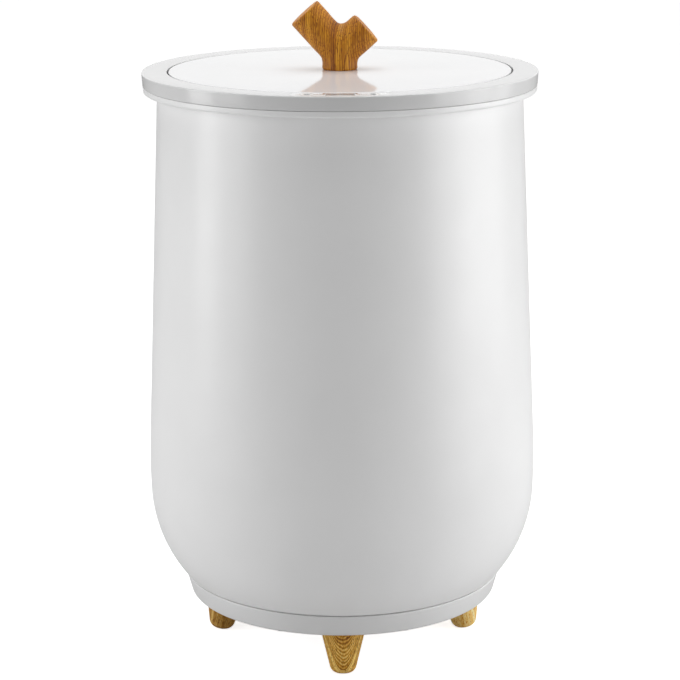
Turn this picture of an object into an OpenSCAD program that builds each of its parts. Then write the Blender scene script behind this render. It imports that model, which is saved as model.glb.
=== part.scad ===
// Towel warmer bucket: a heated drum with a lift-off lid, standing on four wooden feet.
// Origin on the floor, under the drum's axis. +Z is up and the control panel faces -Y.

/* [Overall] */
// Height of the lid's flat top above the floor
body_h = 478; // [465:1:500]
// Inner diameter of the bucket, which the lid, the ring and the casing follow
bucket_d = 262; // [240:1:290]
// How far the lid's cover reaches past the bucket's bore
lid_overlap = 7.4; // [6.8:0.1:8.4]
// Width of the top ring, from the lid to its outer edge
ring_w = 21.6; // [20:0.2:26]
// How far the casing's belly stands out from its neck
belly_swell = 12.95; // [11:0.05:15]
// Height of the casing's widest place above the floor
belly_z = 151; // [146:1:158]

/* [Casing] */
// Wall of the casing
casing_wall = 2.5; // [2:0.1:3]
// Room between the panel's harness and the inside of the casing's neck
neck_room = 0.85; // [0.5:0.05:2]
// Radius of the gentle bend at the belly, in the casing's section
belly_bend_r = 600; // [450:10:800]
// Radius of the bend that runs from the belly down to the base
bottom_bend_r = 115; // [108:1:125]
// Angle under the widest place at which that bend starts
bottom_bend_a = 2; // [1:0.5:3]
// Height of the collar that the top ring stands on
collar_h = 5; // [4.5:0.5:7]
// How far the collar stays inside the top ring's edge
collar_inset = 1; // [0.5:0.5:2]
// Thickness of the deck inside the collar
deck_t = 3; // [2.5:0.5:4]

/* [Lid] */
// Thickness of the cover plate
lid_t = 3; // [2.5:0.5:3.5]
// Height of the cover's rim
lid_rim_h = 5; // [4.5:0.5:5.5]
// Thickness of the cover's rim
lid_rim_t = 2.5; // [2:0.5:3]
// Wall of the liner under the cover
liner_wall = 2; // [1.5:0.5:2.5]
// Depth of the liner under the cover plate
liner_h = 14; // [12:1:20]
// Thickness of the insulation inside the lid
lid_foam_t = 8; // [7:0.5:9]

/* [Handle] */
// Diameter of the handle's stem and arms
handle_d = 28.5; // [25:0.5:30]
// Height of the fork above the lid
fork_z = 14.2; // [13:0.2:18]
// Length of the long arm, from the fork
long_arm = 42.4; // [38:0.2:48]
// Lean of the long arm from the vertical
long_arm_a = 42; // [38:1:46]
// Length of the short arm, from the fork
short_arm = 29; // [26:0.2:34]
// Lean of the short arm from the vertical
short_arm_a = 48; // [44:1:52]
// Roundover at the ends of the arms
handle_round = 1.2; // [0.6:0.2:2]
// Height above the lid to which the crotch between the arms is filled
crotch_z = 38.4; // [36:0.2:39]

/* [Top ring] */
// Thickness of the ring's top plate
ring_plate = 3; // [2.8:0.1:3.4]
// Thickness of the ring's outer band
skirt_t = 2.5; // [2:0.5:3]
// Roundover at the ring's outer edge
ring_round = 3.2; // [2.5:0.1:3.5]
// Thickness of the ledge that the lid rests on
ledge_t = 2; // [1.5:0.1:2.2]

/* [Control panel] */
// Half of the angle that the panel spans
fascia_half_a = 14.4; // [13.8:0.2:16]
// Thickness of the panel's fascia
fascia_t = 1.4; // [1:0.1:1.6]
// Distance from the fascia to the ring's outer edge
fascia_margin = 5; // [4.5:0.5:6]
// Diameter of a key
key_d = 9; // [8:0.5:9.5]
// Angle of a key from the middle of the panel
key_a = 9.6; // [9:0.2:10.4]
// Travel of a key
key_travel = 0.8; // [0.5:0.1:0.9]
// Length of a key's stem, which sets the height of the top ring
key_stem_l = 0.7; // [0.5:0.1:2]
// Width of the display
display_w = 22; // [18:1:24]
// Depth of the display, front to back
display_l = 8; // [6:0.5:9]
// Thickness of the circuit boards
board_t = 1.6; // [1:0.2:1.6]

/* [Bucket] */
// Wall of the bucket
bucket_wall = 1.2; // [1:0.1:1.4]
// Width of the bucket's lip
lip_w = 7; // [6:0.5:7.5]
// Radius of the bucket's bottom corner
bucket_corner_r = 10; // [6:1:14]
// Height of the bucket's floor above the base, the room for the electrics
plant_h = 43; // [42:0.5:50]
// Thickness of the heater band
heater_t = 1.4; // [1:0.1:1.6]
// Height of the heater band
heater_h = 230; // [150:10:300]
// Height of the heater band above the bucket's floor
heater_z = 20; // [16:1:40]
// Thickness of the insulation round the bucket
jacket_t = 6; // [5:0.5:6]
// Thickness of the insulation under the bucket
floor_foam_t = 8; // [6:0.5:9]

/* [Base] */
// Height of the base's band, from its lower edge to the seam
base_h = 19.3; // [18:0.1:24]
// How much the band narrows towards its lower edge
base_taper = 5; // [4:0.5:8]
// Rounding of the band's lower edge
base_round = 4; // [2:0.5:4]
// Thickness of the base's floor
base_floor_t = 3; // [2.5:0.5:3.5]
// Height of the spigot that centres the casing
spigot_h = 6; // [4:0.5:7]
// Angle of a base screw from the front or the rear
base_screw_a = 25; // [22:1:32]
// Distance of the base screws from the seam
base_screw_inset = 15; // [14.5:0.5:17]
// Bore of the cord gland
gland_bore = 7.2; // [6:0.1:8]

/* [Feet] */
// Height of a foot
foot_h = 40; // [38:0.5:44]
// Diameter of a foot at its top
foot_d = 36; // [32:1:38]
// Diameter of a foot near its tip
foot_tip_d = 22; // [20:1:26]
// Roundover of the foot's tip
foot_round = 7; // [4:0.5:8]
// Lean of a foot, its tip outwards
foot_splay = 9; // [6:0.5:11]
// Distance from a foot to the base's lower edge
foot_inset = 11.8; // [9:0.1:14]

/* [Hidden] */
$fn = 96;
eps = 0.01;
drill_over = 1;

// Clearances
lid_gap = 1;
seat_gap = 0.3;
slip_gap = 0.15;
wrap_gap = 0.1;
seam_gap = 0.4;
ring_gap = 0.5;
hole_gap = 0.4;
thread_gap = 0.05;
liner_gap = 1;
wire_gap = 0.3;
rest_gap = 0.1;
edge_gap = 0.2;
pocket_gap = 2;

// Small screws: nominal thread, head and pilot sizes
small_screw_d = 3;
small_head_d = 5.5;
small_head_h = 2;
base_screw_d = 4;
base_head_d = 7.5;
base_head_h = 2;
board_screw_d = 2;
board_head_d = 3.8;
board_head_h = 1.2;
foot_screw_d = 6;
foot_head_d = 11;
foot_head_h = 3.5;
screw_tip_gap = 1;
recess_w = 0.16;
recess_l = 0.6;
function pilot_d(d) = d * 0.86;

// Heights, from the floor up
base_z = foot_h;
base_floor_z = base_z + base_floor_t;
seam_z = base_z + base_h;
plate_z = body_h - ring_plate;

// Stack of the control panel, from the ring's plate down to the casing's deck
key_rim_w = 1.2;
key_rim_t = 1;
key_rim_z = plate_z - edge_gap - key_rim_t;
switch_w = 6;
switch_h = 2.4;
switch_floor = 0.8;
plunger_top_z = key_rim_z - key_stem_l;
board_top_z = plunger_top_z - seat_gap - key_travel - switch_h;
board_z = board_top_z - board_t;
plunger_foot_z = board_top_z + switch_floor + key_travel + rest_gap;
flange_z = board_z - seat_gap - board_head_h;
deck_z = flange_z - deck_t;
collar_z = flange_z - collar_h;

// Bucket and the layers round it
bucket_r = bucket_d / 2;
bucket_out_r = bucket_r + bucket_wall;
bucket_floor_z = base_z + plant_h;
bucket_under_z = bucket_floor_z - bucket_wall;
lip_z = flange_z + bucket_wall;
lip_r = bucket_r + lip_w;
heater_r = bucket_out_r + wrap_gap + heater_t;
jacket_in_r = heater_r + wrap_gap;
jacket_r = jacket_in_r + jacket_t;
jacket_z = bucket_floor_z + bucket_corner_r;
jacket_top_gap = 7;
jacket_top_z = deck_z - jacket_top_gap;
deck_r = bucket_out_r + lid_gap;

// Widths of the lid, the ring and the casing, from the bucket outwards
lid_r = bucket_r + lid_overlap;
bore_r = lid_r + lid_gap;
flange_r = lid_r + ring_w;
ring_wall = 2.5;
cavity_in_r = bore_r + ring_wall;
cavity_out_r = flange_r - skirt_t;
wire_d = 2.2;
harness_r = max(jacket_r, cavity_in_r) + wire_gap + wire_d / 2;
harness_a = 6.4;
casing_in_r = harness_r + wire_d / 2 + neck_room;
neck_r = casing_in_r + casing_wall;
belly_r = neck_r + belly_swell;

// Casing section: a straight flank, a gentle bend at the belly and a tighter bend below it
bend_x = belly_r - belly_bend_r;
low_x = bend_x + (belly_bend_r - bottom_bend_r) * cos(bottom_bend_a);
low_z = belly_z - (belly_bend_r - bottom_bend_r) * sin(bottom_bend_a);
flank_top = [neck_r - bend_x, collar_z - belly_z];
flank_a = atan2(flank_top[1], flank_top[0]) - acos(belly_bend_r / norm(flank_top));
function casing_r(z, inset = 0) = low_x + sqrt(pow(bottom_bend_r - inset, 2) - pow(z - low_z, 2));
seam_r = casing_r(seam_z);

// Collar, a separate ring with a rebate for the casing's top edge
collar_r = flange_r - collar_inset;
collar_round = 2;
collar_bore_r = neck_r + seat_gap;
neck_fillet = 2;
neck_lip = 0.5;

// What closes the bucket
seal_t = 1;
seal_z = lip_z + seal_t;
ledge_z = seal_z + ledge_t;
ledge_step = 1.5;
ledge_r = bucket_r + ledge_step;

// Lid
lid_under_z = body_h - lid_t;
lid_edge = 0.8;
liner_r = bucket_r - liner_gap;
liner_flange_r = lid_r - lid_rim_t - slip_gap;
liner_floor_z = lid_under_z - liner_h + liner_wall;
gasket_top_z = lid_under_z - liner_wall;
lid_screw_inset = 30;
lid_screw_r = liner_r - lid_screw_inset;
lid_screw_count = 4;
lid_boss_d = 8;
handle_boss_d = 24;
handle_boss_h = 3;
foam_gap = 0.5;

// Handle fastening
insert_d = 9;
insert_h = 16;
handle_bolt_d = 6;
handle_bolt_head_h = 3;
washer_d = 18;
washer_t = 1.2;

// Rounded filling of the handle's crotch
crotch_r = 9;
crotch_x = 2;

// Top ring and control panel
ring_boss_d = 7;
ring_head_wall = 0.4;
ring_boss_r = collar_bore_r + (small_head_d + hole_gap) / 2 + ring_head_wall;
ring_screw_count = 6;
ring_screw_l = 8.6;
ring_head_depth = 2.4;
fascia_out_r = flange_r - fascia_margin;
fascia_step = 2.1;
fascia_in_r = bore_r + fascia_step;
key_side = 0.65;
key_r = cavity_in_r + key_side + key_rim_w + key_d / 2;
key_stem_d = 3.4;
board_edge = 1.5;
board_in_r = harness_r + wire_d / 2 + wire_gap;
board_out_r = cavity_out_r - board_edge;
board_post_d = 4.6;
board_post_r = (board_in_r + board_out_r) / 2;
board_post_step_a = 0.2;
board_post_a = fascia_half_a + board_post_step_a;
board_edge_a = 1.6;
board_half_a = board_post_a + board_edge_a;
plunger_d = 3.4;
display_step = 1;
connector_l = 5;
connector_h = 4;
connector_r = board_in_r + connector_l / 2 + edge_gap;

// Base
base_low_r = seam_r - base_taper;
base_flank_a = atan(base_taper / base_h);
spigot_r = casing_r(seam_z, casing_wall) - seat_gap;
spigot_wall = 2.2;
base_wall = 3.2;
base_screw_r = seam_r - base_screw_inset;
base_post_d = 9;
base_boss_gap = 1;
base_boss_room = 3.5;
base_boss_z = seam_z + spigot_h + base_boss_gap;
base_boss_h = bucket_under_z - base_boss_room - base_boss_z;
base_boss_end = 2;
base_screw_angles = [base_screw_a, 180 - base_screw_a, 180 + base_screw_a, -base_screw_a];
foot_r = base_low_r - foot_inset - foot_d / 2;
foot_angles = [0, 90, 180, 270];
foot_pad_d = 24;
foot_pad_h = 4;
foot_pad_z = base_floor_z + foot_pad_h;
foot_screw_l = 32;
gland_rise = 0.3;
gland_z = base_z + base_h / 2 + gland_rise;
gland_margin = 1.15;
gland_wall = 1;
gland_step = 2;
gland_boss_d = base_h - 2 * gland_margin;
gland_flange_d = gland_boss_d - 2 * gland_wall;
gland_d = gland_flange_d - 2 * gland_step;
gland_flange_t = 2;
gland_sink = 0.3;
gland_run = 14;
gland_face_r = seam_r - gland_sink;
gland_in_r = gland_face_r - gland_run;
gland_lip_l = 2.4;
gland_lip_step = 0.5;
vent_count = 7;
vent_pitch = 7;
vent_w = 2.5;
vent_l = 60;

// Electrics in the base
power_w = 104;
power_l = 72;
power_post_h = 6;
power_post_d = 6;
power_post_inset = 6;
power_post_x = power_w / 2 - power_post_inset;
power_post_y = power_l / 2 - power_post_inset;
power_z = base_floor_z + power_post_h;
power_top_z = power_z + board_t;
foam_inset = 20.2;
foam_r = bucket_out_r - foam_inset;
foam_z = bucket_under_z - floor_foam_t;
sensor_inset = 38;
sensor_r = foam_r - sensor_inset;
sensor_pitch = 22;
thermostat_d = 15;
thermostat_h = 6;
fuse_d = 4;
fuse_l = 11;
clip_t = 1;
clip_side = 0.5;
clip_end = 1.5;
tab_w = 4;
tab_t = 0.8;
sensor_d = 8;
sensor_h = 4;
header_w = 6;
header_h = 9;
header_side = 1;
header_edge = 4;
header_x = power_w / 2 - header_w / 2 - header_side;
terminal_w = 10;
terminal_l = 22;
terminal_h = 13;
terminal_well = 4;
part_h = 17;
relay_h = 16;
transformer_x = -19;
transformer_y = 7;
core_w = 30;
core_l = 26;
core_h = 12;
coil_w = 20;
relay_x = 17.5;
relay_y = 13.5;
relay_w = 19;
relay_l = 15;
capacitor_x = 12;
capacitor_y = -16;
capacitor_d = 13;
lead_d = 1.4;
lead_pitch = 5;
lead_step = 1;
lead_drop = 2;
wire_bend = 5;
panel_header_r = power_l / 2 - header_edge;

// Points along an arc
function arc(x, z, r, a0, a1, n) = [for (i = [0:n])
    let (a = a0 + (a1 - a0) * i / n) [x + r * cos(a), z + r * sin(a)]];
function reversed(v) = [for (i = [len(v) - 1:-1:0]) v[i]];

// Side of the casing from the seam up to the flank's foot, inset by a wall
function casing_side(inset) = concat(
    arc(low_x, low_z, bottom_bend_r - inset, asin((seam_z - low_z) / (bottom_bend_r - inset)),
        -bottom_bend_a, 14),
    arc(bend_x, belly_z, belly_bend_r - inset, -bottom_bend_a, flank_a, 4));

// A planar route with each bend eased by a short curve
function eased(p, ease) = concat([p[0]],
    [for (i = [1:len(p) - 2])
        let (back = (p[i - 1] - p[i]) / norm(p[i - 1] - p[i]) * min(ease, norm(p[i - 1] - p[i]) / 2),
            ahead = (p[i + 1] - p[i]) / norm(p[i + 1] - p[i]) * min(ease, norm(p[i + 1] - p[i]) / 2))
        for (t = [0:0.25:1]) p[i] + back * (1 - t) * (1 - t) + ahead * t * t],
    [p[len(p) - 1]]);

// Places children at an angle from the front and a radius from the axis
module around(a, r = 0, z = 0) {
    rotate([0, 0, a]) translate([0, -r, z]) children();
}

// Places children at each lid screw, at a height
module at_lid_screws(z) {
    for (i = [0:lid_screw_count - 1])
        around((i + 0.5) * 360 / lid_screw_count, lid_screw_r, z) children();
}

// Places children at each screw of the top ring, at a height
module at_ring_screws(z) {
    for (i = [0:ring_screw_count - 1])
        around((i + 0.5) * 360 / ring_screw_count, ring_boss_r, z) children();
}

// Places children at each post of the control board, at a height
module at_board_posts(z) {
    for (s = [-1, 1]) around(s * board_post_a, board_post_r, z) children();
}

// Places children at each post of the power board, at a height
module at_power_posts(z) {
    for (x = [-1, 1], y = [-1, 1]) translate([x * power_post_x, y * power_post_y, z]) children();
}

// Places children at each base screw, at a height
module at_base_screws(z) {
    for (a = base_screw_angles) around(a, base_screw_r, z) children();
}

// Places children at each foot, at a height
module at_feet(z) {
    for (a = foot_angles) around(a, foot_r, z) children();
}

// Part of a flat ring, centred on the front
module sector(r0, r1, z0, z1, half_a) {
    rotate([0, 0, -90 - half_a])
        rotate_extrude(angle = 2 * half_a)
            translate([r0, z0]) square([r1 - r0, z1 - z0]);
}

// A plate of thickness t whose outline is drawn as radius and height, towards the front
module radial_plate(points, t) {
    rotate([90, 0, -90]) linear_extrude(t, center = true) polygon(points);
}

// A round wire along a route drawn as radius and height, towards the front
module wire(route, d) {
    sides = 8;
    last = len(route) - 1;
    points = [for (i = [0:last])
        let (step = route[min(i + 1, last)] - route[max(i - 1, 0)], dir = step / norm(step))
        for (k = [0:sides - 1])
            let (u = d / 2 * cos(360 * k / sides), v = d / 2 * sin(360 * k / sides))
            [v, -(route[i][0] - dir[1] * u), route[i][1] + dir[0] * u]];
    walls = [for (i = [0:last - 1]) for (k = [0:sides - 1])
        let (a = i * sides + k, b = i * sides + (k + 1) % sides)
        each [[a, b, b + sides], [a, b + sides, a + sides]]];
    start = [for (k = [1:sides - 2]) [0, k + 1, k]];
    end = [for (k = [1:sides - 2]) [last * sides, last * sides + k, last * sides + k + 1]];
    polyhedron(points, concat(walls, start, end));
}

// A pan-head screw with a cross recess, its shank up +Z and its head under z = 0
module screw(d, l, head_d, head_h) {
    slot_w = head_d * recess_w;
    slot_l = head_d * recess_l;
    difference() {
        union() {
            translate([0, 0, -head_h]) cylinder(h = head_h, d = head_d);
            translate([0, 0, -eps]) cylinder(h = l + eps, d = pilot_d(d) - 2 * thread_gap);
        }
        for (a = [0, 90]) rotate(a)
            translate([-slot_l / 2, -slot_w / 2, -head_h - eps])
                cube([slot_l, slot_w, head_h / 2 + eps]);
    }
}

// A rod along +Z whose far end is rounded over
module rounded_rod(d, l, r) {
    rotate_extrude()
        polygon(concat([[0, 0], [d / 2, 0]], arc(d / 2 - r, l - r, r, 0, 90, 4), [[0, l]]));
}

module lid_cover() {
    color("whitesmoke") difference() {
        union() {
            rotate_extrude() polygon(concat(
                [[0, lid_under_z], [lid_r - lid_rim_t, lid_under_z],
                    [lid_r - lid_rim_t, body_h - lid_rim_h], [lid_r, body_h - lid_rim_h]],
                arc(lid_r - lid_edge, body_h - lid_edge, lid_edge, 0, 90, 3),
                [[0, body_h]]));
            translate([0, 0, lid_under_z - handle_boss_h])
                cylinder(h = handle_boss_h + eps, d = handle_boss_d);
            at_lid_screws(liner_floor_z)
                cylinder(h = lid_under_z - liner_floor_z + eps, d = lid_boss_d);
        }
        translate([0, 0, lid_under_z - handle_boss_h - eps])
            cylinder(h = lid_t + handle_boss_h + 2 * eps, d = handle_bolt_d + hole_gap);
        at_lid_screws(liner_floor_z - eps)
            cylinder(h = liner_h - liner_wall, d = pilot_d(small_screw_d));
    }
}

module lid_liner() {
    color("white") difference() {
        rotate_extrude() polygon([
            [0, liner_floor_z - liner_wall], [liner_r, liner_floor_z - liner_wall],
            [liner_r, gasket_top_z], [liner_flange_r, gasket_top_z], [liner_flange_r, lid_under_z],
            [liner_r - liner_wall, lid_under_z], [liner_r - liner_wall, liner_floor_z],
            [0, liner_floor_z]]);
        at_lid_screws(liner_floor_z - liner_wall - eps)
            cylinder(h = liner_wall + 2 * eps, d = small_screw_d + hole_gap);
    }
}

module lid_insulation() {
    color("khaki") difference() {
        translate([0, 0, liner_floor_z])
            cylinder(h = lid_foam_t, r = liner_r - liner_wall - foam_gap);
        translate([0, 0, liner_floor_z - eps])
            cylinder(h = lid_foam_t + 2 * eps, d = handle_boss_d + 2 * foam_gap);
        at_lid_screws(liner_floor_z - eps)
            cylinder(h = lid_foam_t + 2 * eps, d = lid_boss_d + 2 * foam_gap);
    }
}

module lid_gasket() {
    color("dimgray") rotate_extrude() translate([liner_r + wrap_gap, ledge_z + seat_gap])
        square([liner_flange_r - liner_r - wrap_gap, gasket_top_z - ledge_z - seat_gap]);
}

module lid_handle() {
    color("peru") translate([0, 0, body_h]) difference() {
        union() {
            cylinder(h = fork_z, d = handle_d);
            translate([0, 0, fork_z]) sphere(d = handle_d);
            translate([crotch_x, 0, crotch_z - crotch_r]) sphere(r = crotch_r);
            translate([0, 0, fork_z]) rotate([0, -long_arm_a, 0])
                rounded_rod(handle_d, long_arm, handle_round);
            translate([0, 0, fork_z]) rotate([0, short_arm_a, 0])
                rounded_rod(handle_d, short_arm, handle_round);
        }
        translate([0, 0, -handle_d]) cylinder(h = handle_d, d = 2 * handle_d);
        translate([0, 0, -eps]) cylinder(h = insert_h + eps, d = insert_d);
    }
}

module handle_insert() {
    color("goldenrod") translate([0, 0, body_h]) difference() {
        cylinder(h = insert_h, d = insert_d - 2 * thread_gap);
        translate([0, 0, -eps]) cylinder(h = insert_h + 2 * eps, d = handle_bolt_d);
    }
}

module handle_washer() {
    color("silver") translate([0, 0, lid_under_z - handle_boss_h - washer_t]) difference() {
        cylinder(h = washer_t, d = washer_d);
        translate([0, 0, -eps]) cylinder(h = washer_t + 2 * eps, d = handle_bolt_d + hole_gap);
    }
}

module handle_screw() {
    head_z = lid_under_z - handle_boss_h - washer_t;
    color("silver") {
        translate([0, 0, head_z - handle_bolt_head_h])
            cylinder(h = handle_bolt_head_h, d = 2 * handle_bolt_d, $fn = 6);
        translate([0, 0, head_z - eps])
            cylinder(h = body_h + insert_h - screw_tip_gap - head_z,
                d = handle_bolt_d - 2 * thread_gap);
    }
}

module lid_screws() {
    color("silver") at_lid_screws(liner_floor_z - liner_wall)
        screw(small_screw_d, liner_h - screw_tip_gap, small_head_d, small_head_h);
}

// Openings for the keys and the display, cut from z0 to z1
module panel_openings(z0, z1, gap) {
    for (s = [-1, 1]) around(s * key_a, key_r, z0) cylinder(h = z1 - z0, d = key_d + 2 * gap);
    translate([-display_w / 2 - gap, -key_r - display_l / 2 - gap, z0])
        cube([display_w + 2 * gap, display_l + 2 * gap, z1 - z0]);
}

module top_ring() {
    color("white") difference() {
        union() {
            rotate_extrude() polygon(concat(
                [[cavity_out_r, flange_z + ring_gap], [flange_r, flange_z + ring_gap]],
                arc(flange_r - ring_round, body_h - ring_round, ring_round, 0, 90, 6),
                arc(bore_r + lid_edge, body_h - lid_edge, lid_edge, 90, 180, 3),
                [[bore_r, ledge_z], [ledge_r, ledge_z], [ledge_r, seal_z],
                    [cavity_in_r, seal_z], [cavity_in_r, plate_z], [cavity_out_r, plate_z]]));
            at_ring_screws(flange_z) cylinder(h = plate_z - flange_z + eps, d = ring_boss_d);
            at_board_posts(board_top_z)
                cylinder(h = plate_z - board_top_z + eps, d = board_post_d);
        }
        sector(fascia_in_r - slip_gap, fascia_out_r + slip_gap, body_h - fascia_t, body_h + drill_over,
            fascia_half_a + atan(slip_gap / key_r));
        panel_openings(plate_z - eps, body_h, slip_gap);
        at_ring_screws(flange_z - eps)
            cylinder(h = plate_z - flange_z + eps, d = pilot_d(small_screw_d));
        at_board_posts(board_top_z - eps)
            cylinder(h = plate_z - board_top_z, d = pilot_d(board_screw_d));
    }
}

module panel_fascia() {
    color("gainsboro") difference() {
        sector(fascia_in_r, fascia_out_r, body_h - fascia_t, body_h, fascia_half_a);
        panel_openings(body_h - fascia_t - eps, body_h + eps, slip_gap);
    }
}

module display_lens() {
    color("slategray") translate([-display_w / 2, -key_r - display_l / 2, plate_z])
        cube([display_w, display_l, ring_plate]);
}

module display_module() {
    w = display_w - 2 * display_step;
    l = display_l - 2 * display_step;
    color("black") translate([-w / 2, -key_r - l / 2, board_top_z])
        cube([w, l, plate_z - board_top_z - slip_gap]);
}

// A key: the cap in the fascia, the rim that holds it in and the stem over the switch
module key(a) {
    around(a, key_r) {
        translate([0, 0, key_rim_z]) cylinder(h = body_h - key_rim_z, d = key_d);
        translate([0, 0, key_rim_z]) cylinder(h = key_rim_t, d = key_d + 2 * key_rim_w);
        translate([0, 0, plunger_top_z]) cylinder(h = key_stem_l + eps, d = key_stem_d);
    }
}

module power_key() {
    color("lightgray") key(-key_a);
}

module timer_key() {
    color("lightgray") key(key_a);
}

module plunger(a) {
    around(a, key_r, plunger_foot_z)
        cylinder(h = plunger_top_z - plunger_foot_z, d = plunger_d);
}

module power_plunger() {
    color("black") plunger(-key_a);
}

module timer_plunger() {
    color("black") plunger(key_a);
}

module key_switch(a) {
    around(a, key_r, board_top_z) difference() {
        translate([-switch_w / 2, -switch_w / 2, 0]) cube([switch_w, switch_w, switch_h]);
        translate([0, 0, switch_floor]) cylinder(h = switch_h, d = plunger_d + 2 * slip_gap);
    }
}

module power_switch() {
    color("dimgray") key_switch(-key_a);
}

module timer_switch() {
    color("dimgray") key_switch(key_a);
}

module control_board() {
    color("seagreen") difference() {
        sector(board_in_r, board_out_r, board_z, board_top_z, board_half_a);
        at_board_posts(board_z - eps)
            cylinder(h = board_t + 2 * eps, d = board_screw_d + hole_gap);
    }
}

module panel_connector() {
    color("ivory") around(harness_a, connector_r, board_top_z)
        translate([-connector_l / 2, -connector_l / 2, 0])
            cube([connector_l, connector_l, connector_h]);
}

module control_board_screws() {
    color("silver") at_board_posts(board_z)
        screw(board_screw_d, plate_z - board_z - screw_tip_gap, board_head_d, board_head_h);
}

module ring_screws() {
    color("silver") at_ring_screws(collar_z + ring_head_depth)
        screw(small_screw_d, ring_screw_l, small_head_d, small_head_h);
}

module bucket_seal() {
    color("darkgray") rotate_extrude() translate([ledge_r, lip_z])
        square([lip_r - ledge_r, seal_t]);
}

// The screw boss inside the casing's lower end, and the web that ties it to the wall
module casing_boss() {
    top_z = base_boss_z + base_boss_h;
    mid_z = (base_boss_z + top_z) / 2;
    radial_plate([[base_screw_r, base_boss_z],
        for (z = [base_boss_z, mid_z, top_z]) [casing_r(z, casing_wall / 2), z],
        [base_screw_r, top_z]], casing_wall);
    translate([0, -base_screw_r, base_boss_z]) cylinder(h = base_boss_h, d = 2 * base_screw_d);
}

// The ring under the top ring: its deck carries the bucket's lip, its rebate takes the casing
module casing_collar() {
    under_z = collar_z - neck_fillet;
    fillet_in_r = collar_bore_r + neck_lip;
    color("white") difference() {
        rotate_extrude() polygon(concat(
            [[deck_r, flange_z], [deck_r, deck_z], [collar_bore_r, deck_z],
                [collar_bore_r, under_z]],
            arc(fillet_in_r + neck_fillet, under_z, neck_fillet, 180, 90, 3),
            arc(collar_r - collar_round, collar_z + collar_round, collar_round, -90, 0, 4),
            [[collar_r, flange_z]]));
        at_ring_screws(under_z - eps) {
            cylinder(h = flange_z - under_z + 2 * eps, d = small_screw_d + hole_gap);
            cylinder(h = neck_fillet + ring_head_depth + eps, d = small_head_d + hole_gap);
        }
        around(harness_a, harness_r, deck_z - eps)
            cylinder(h = deck_t + 2 * eps, d = wire_d + 2 * wire_gap);
    }
}

module outer_casing() {
    color("white") difference() {
        union() {
            rotate_extrude() polygon(concat(
                casing_side(0),
                [[neck_r, collar_z], [neck_r, deck_z], [casing_in_r, deck_z]],
                reversed(casing_side(casing_wall))));
            for (a = base_screw_angles) around(a) casing_boss();
        }
        at_base_screws(base_boss_z - eps)
            cylinder(h = base_boss_h - base_boss_end, d = pilot_d(base_screw_d));
    }
}

module inner_bucket() {
    corner = bucket_corner_r;
    color("lightsteelblue") rotate_extrude() polygon(concat(
        [[0, bucket_under_z]],
        arc(bucket_out_r - corner, bucket_under_z + corner, corner, -90, 0, 6),
        [[bucket_out_r, flange_z], [lip_r, flange_z], [lip_r, lip_z], [bucket_r, lip_z]],
        arc(bucket_out_r - corner, bucket_under_z + corner, corner - bucket_wall, 0, -90, 6),
        [[0, bucket_floor_z]]));
}

module heater_band() {
    color("orangered") rotate_extrude()
        translate([bucket_out_r + wrap_gap, bucket_floor_z + heater_z])
            square([heater_t, heater_h]);
}

module insulation_jacket() {
    color("tan") rotate_extrude() translate([jacket_in_r, jacket_z])
        square([jacket_t, jacket_top_z - jacket_z]);
}

// Places children at the left, under the bucket, at a sideways step from the radius
module under_bucket(step) {
    around(-90) translate([step * sensor_pitch, -sensor_r, 0]) children();
}

module floor_insulation() {
    color("tan") difference() {
        translate([0, 0, foam_z]) cylinder(h = floor_foam_t, r = foam_r);
        for (step = [-1:1]) under_bucket(step) translate([0, 0, foam_z - eps])
            cylinder(h = floor_foam_t + 2 * eps, d = thermostat_d + 2 * pocket_gap);
    }
}

module thermostat() {
    color("black") under_bucket(0) {
        translate([0, 0, bucket_under_z - thermostat_h])
            cylinder(h = thermostat_h, d = thermostat_d);
        for (s = [-1, 1])
            translate([s * tab_w - tab_t / 2, -tab_w / 2, bucket_under_z - thermostat_h - tab_w])
                cube([tab_t, tab_w, tab_w + eps]);
    }
}

module thermal_fuse() {
    clip_w = fuse_d + 2 * clip_side;
    clip_l = fuse_l + 2 * clip_end;
    color("silver") under_bucket(1) {
        translate([-clip_w / 2, -clip_l / 2, bucket_under_z - clip_t])
            cube([clip_w, clip_l, clip_t]);
        translate([0, fuse_l / 2, bucket_under_z - clip_t - fuse_d / 2 + slip_gap])
            rotate([90, 0, 0]) cylinder(h = fuse_l, d = fuse_d);
    }
}

module temperature_sensor() {
    color("silver") under_bucket(-1) {
        translate([0, 0, bucket_under_z - clip_t]) cylinder(h = clip_t, d = sensor_d);
        translate([0, 0, bucket_under_z - sensor_h]) cylinder(h = sensor_h, d = sensor_d / 2);
    }
}

// From the connector over the board's edge, down beside the jacket and in to the power board
module panel_harness() {
    top_z = board_top_z + connector_h / 2;
    turn_z = jacket_z;
    in_z = (seam_z + spigot_h + foam_z) / 2;
    color("firebrick") around(harness_a) wire(eased([
        [connector_r - connector_l / 2, top_z], [harness_r, top_z], [harness_r, turn_z],
        [spigot_r - 2 * wire_bend, in_z], [panel_header_r + header_w, power_top_z + header_h / 2],
        [panel_header_r + header_w / 2, power_top_z + header_h / 2]], wire_bend), wire_d);
}

module heater_leads() {
    start_z = bucket_floor_z + heater_z;
    wire_r = (bucket_out_r + jacket_in_r) / 2;
    end_x = header_x + header_w / 2;
    end_z = power_top_z + terminal_h / 2;
    color("firebrick") for (s = [-1, 1]) around(90) translate([s * lead_pitch / 2, 0, 0])
        wire(eased([[wire_r, start_z], [wire_r, jacket_z],
            [wire_r + lead_step, bucket_under_z - lead_drop], [spigot_r - 3 * wire_bend, foam_z - wire_bend],
            [end_x + 2 * wire_bend, end_z], [end_x, end_z]], wire_bend), lead_d);
}

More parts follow.
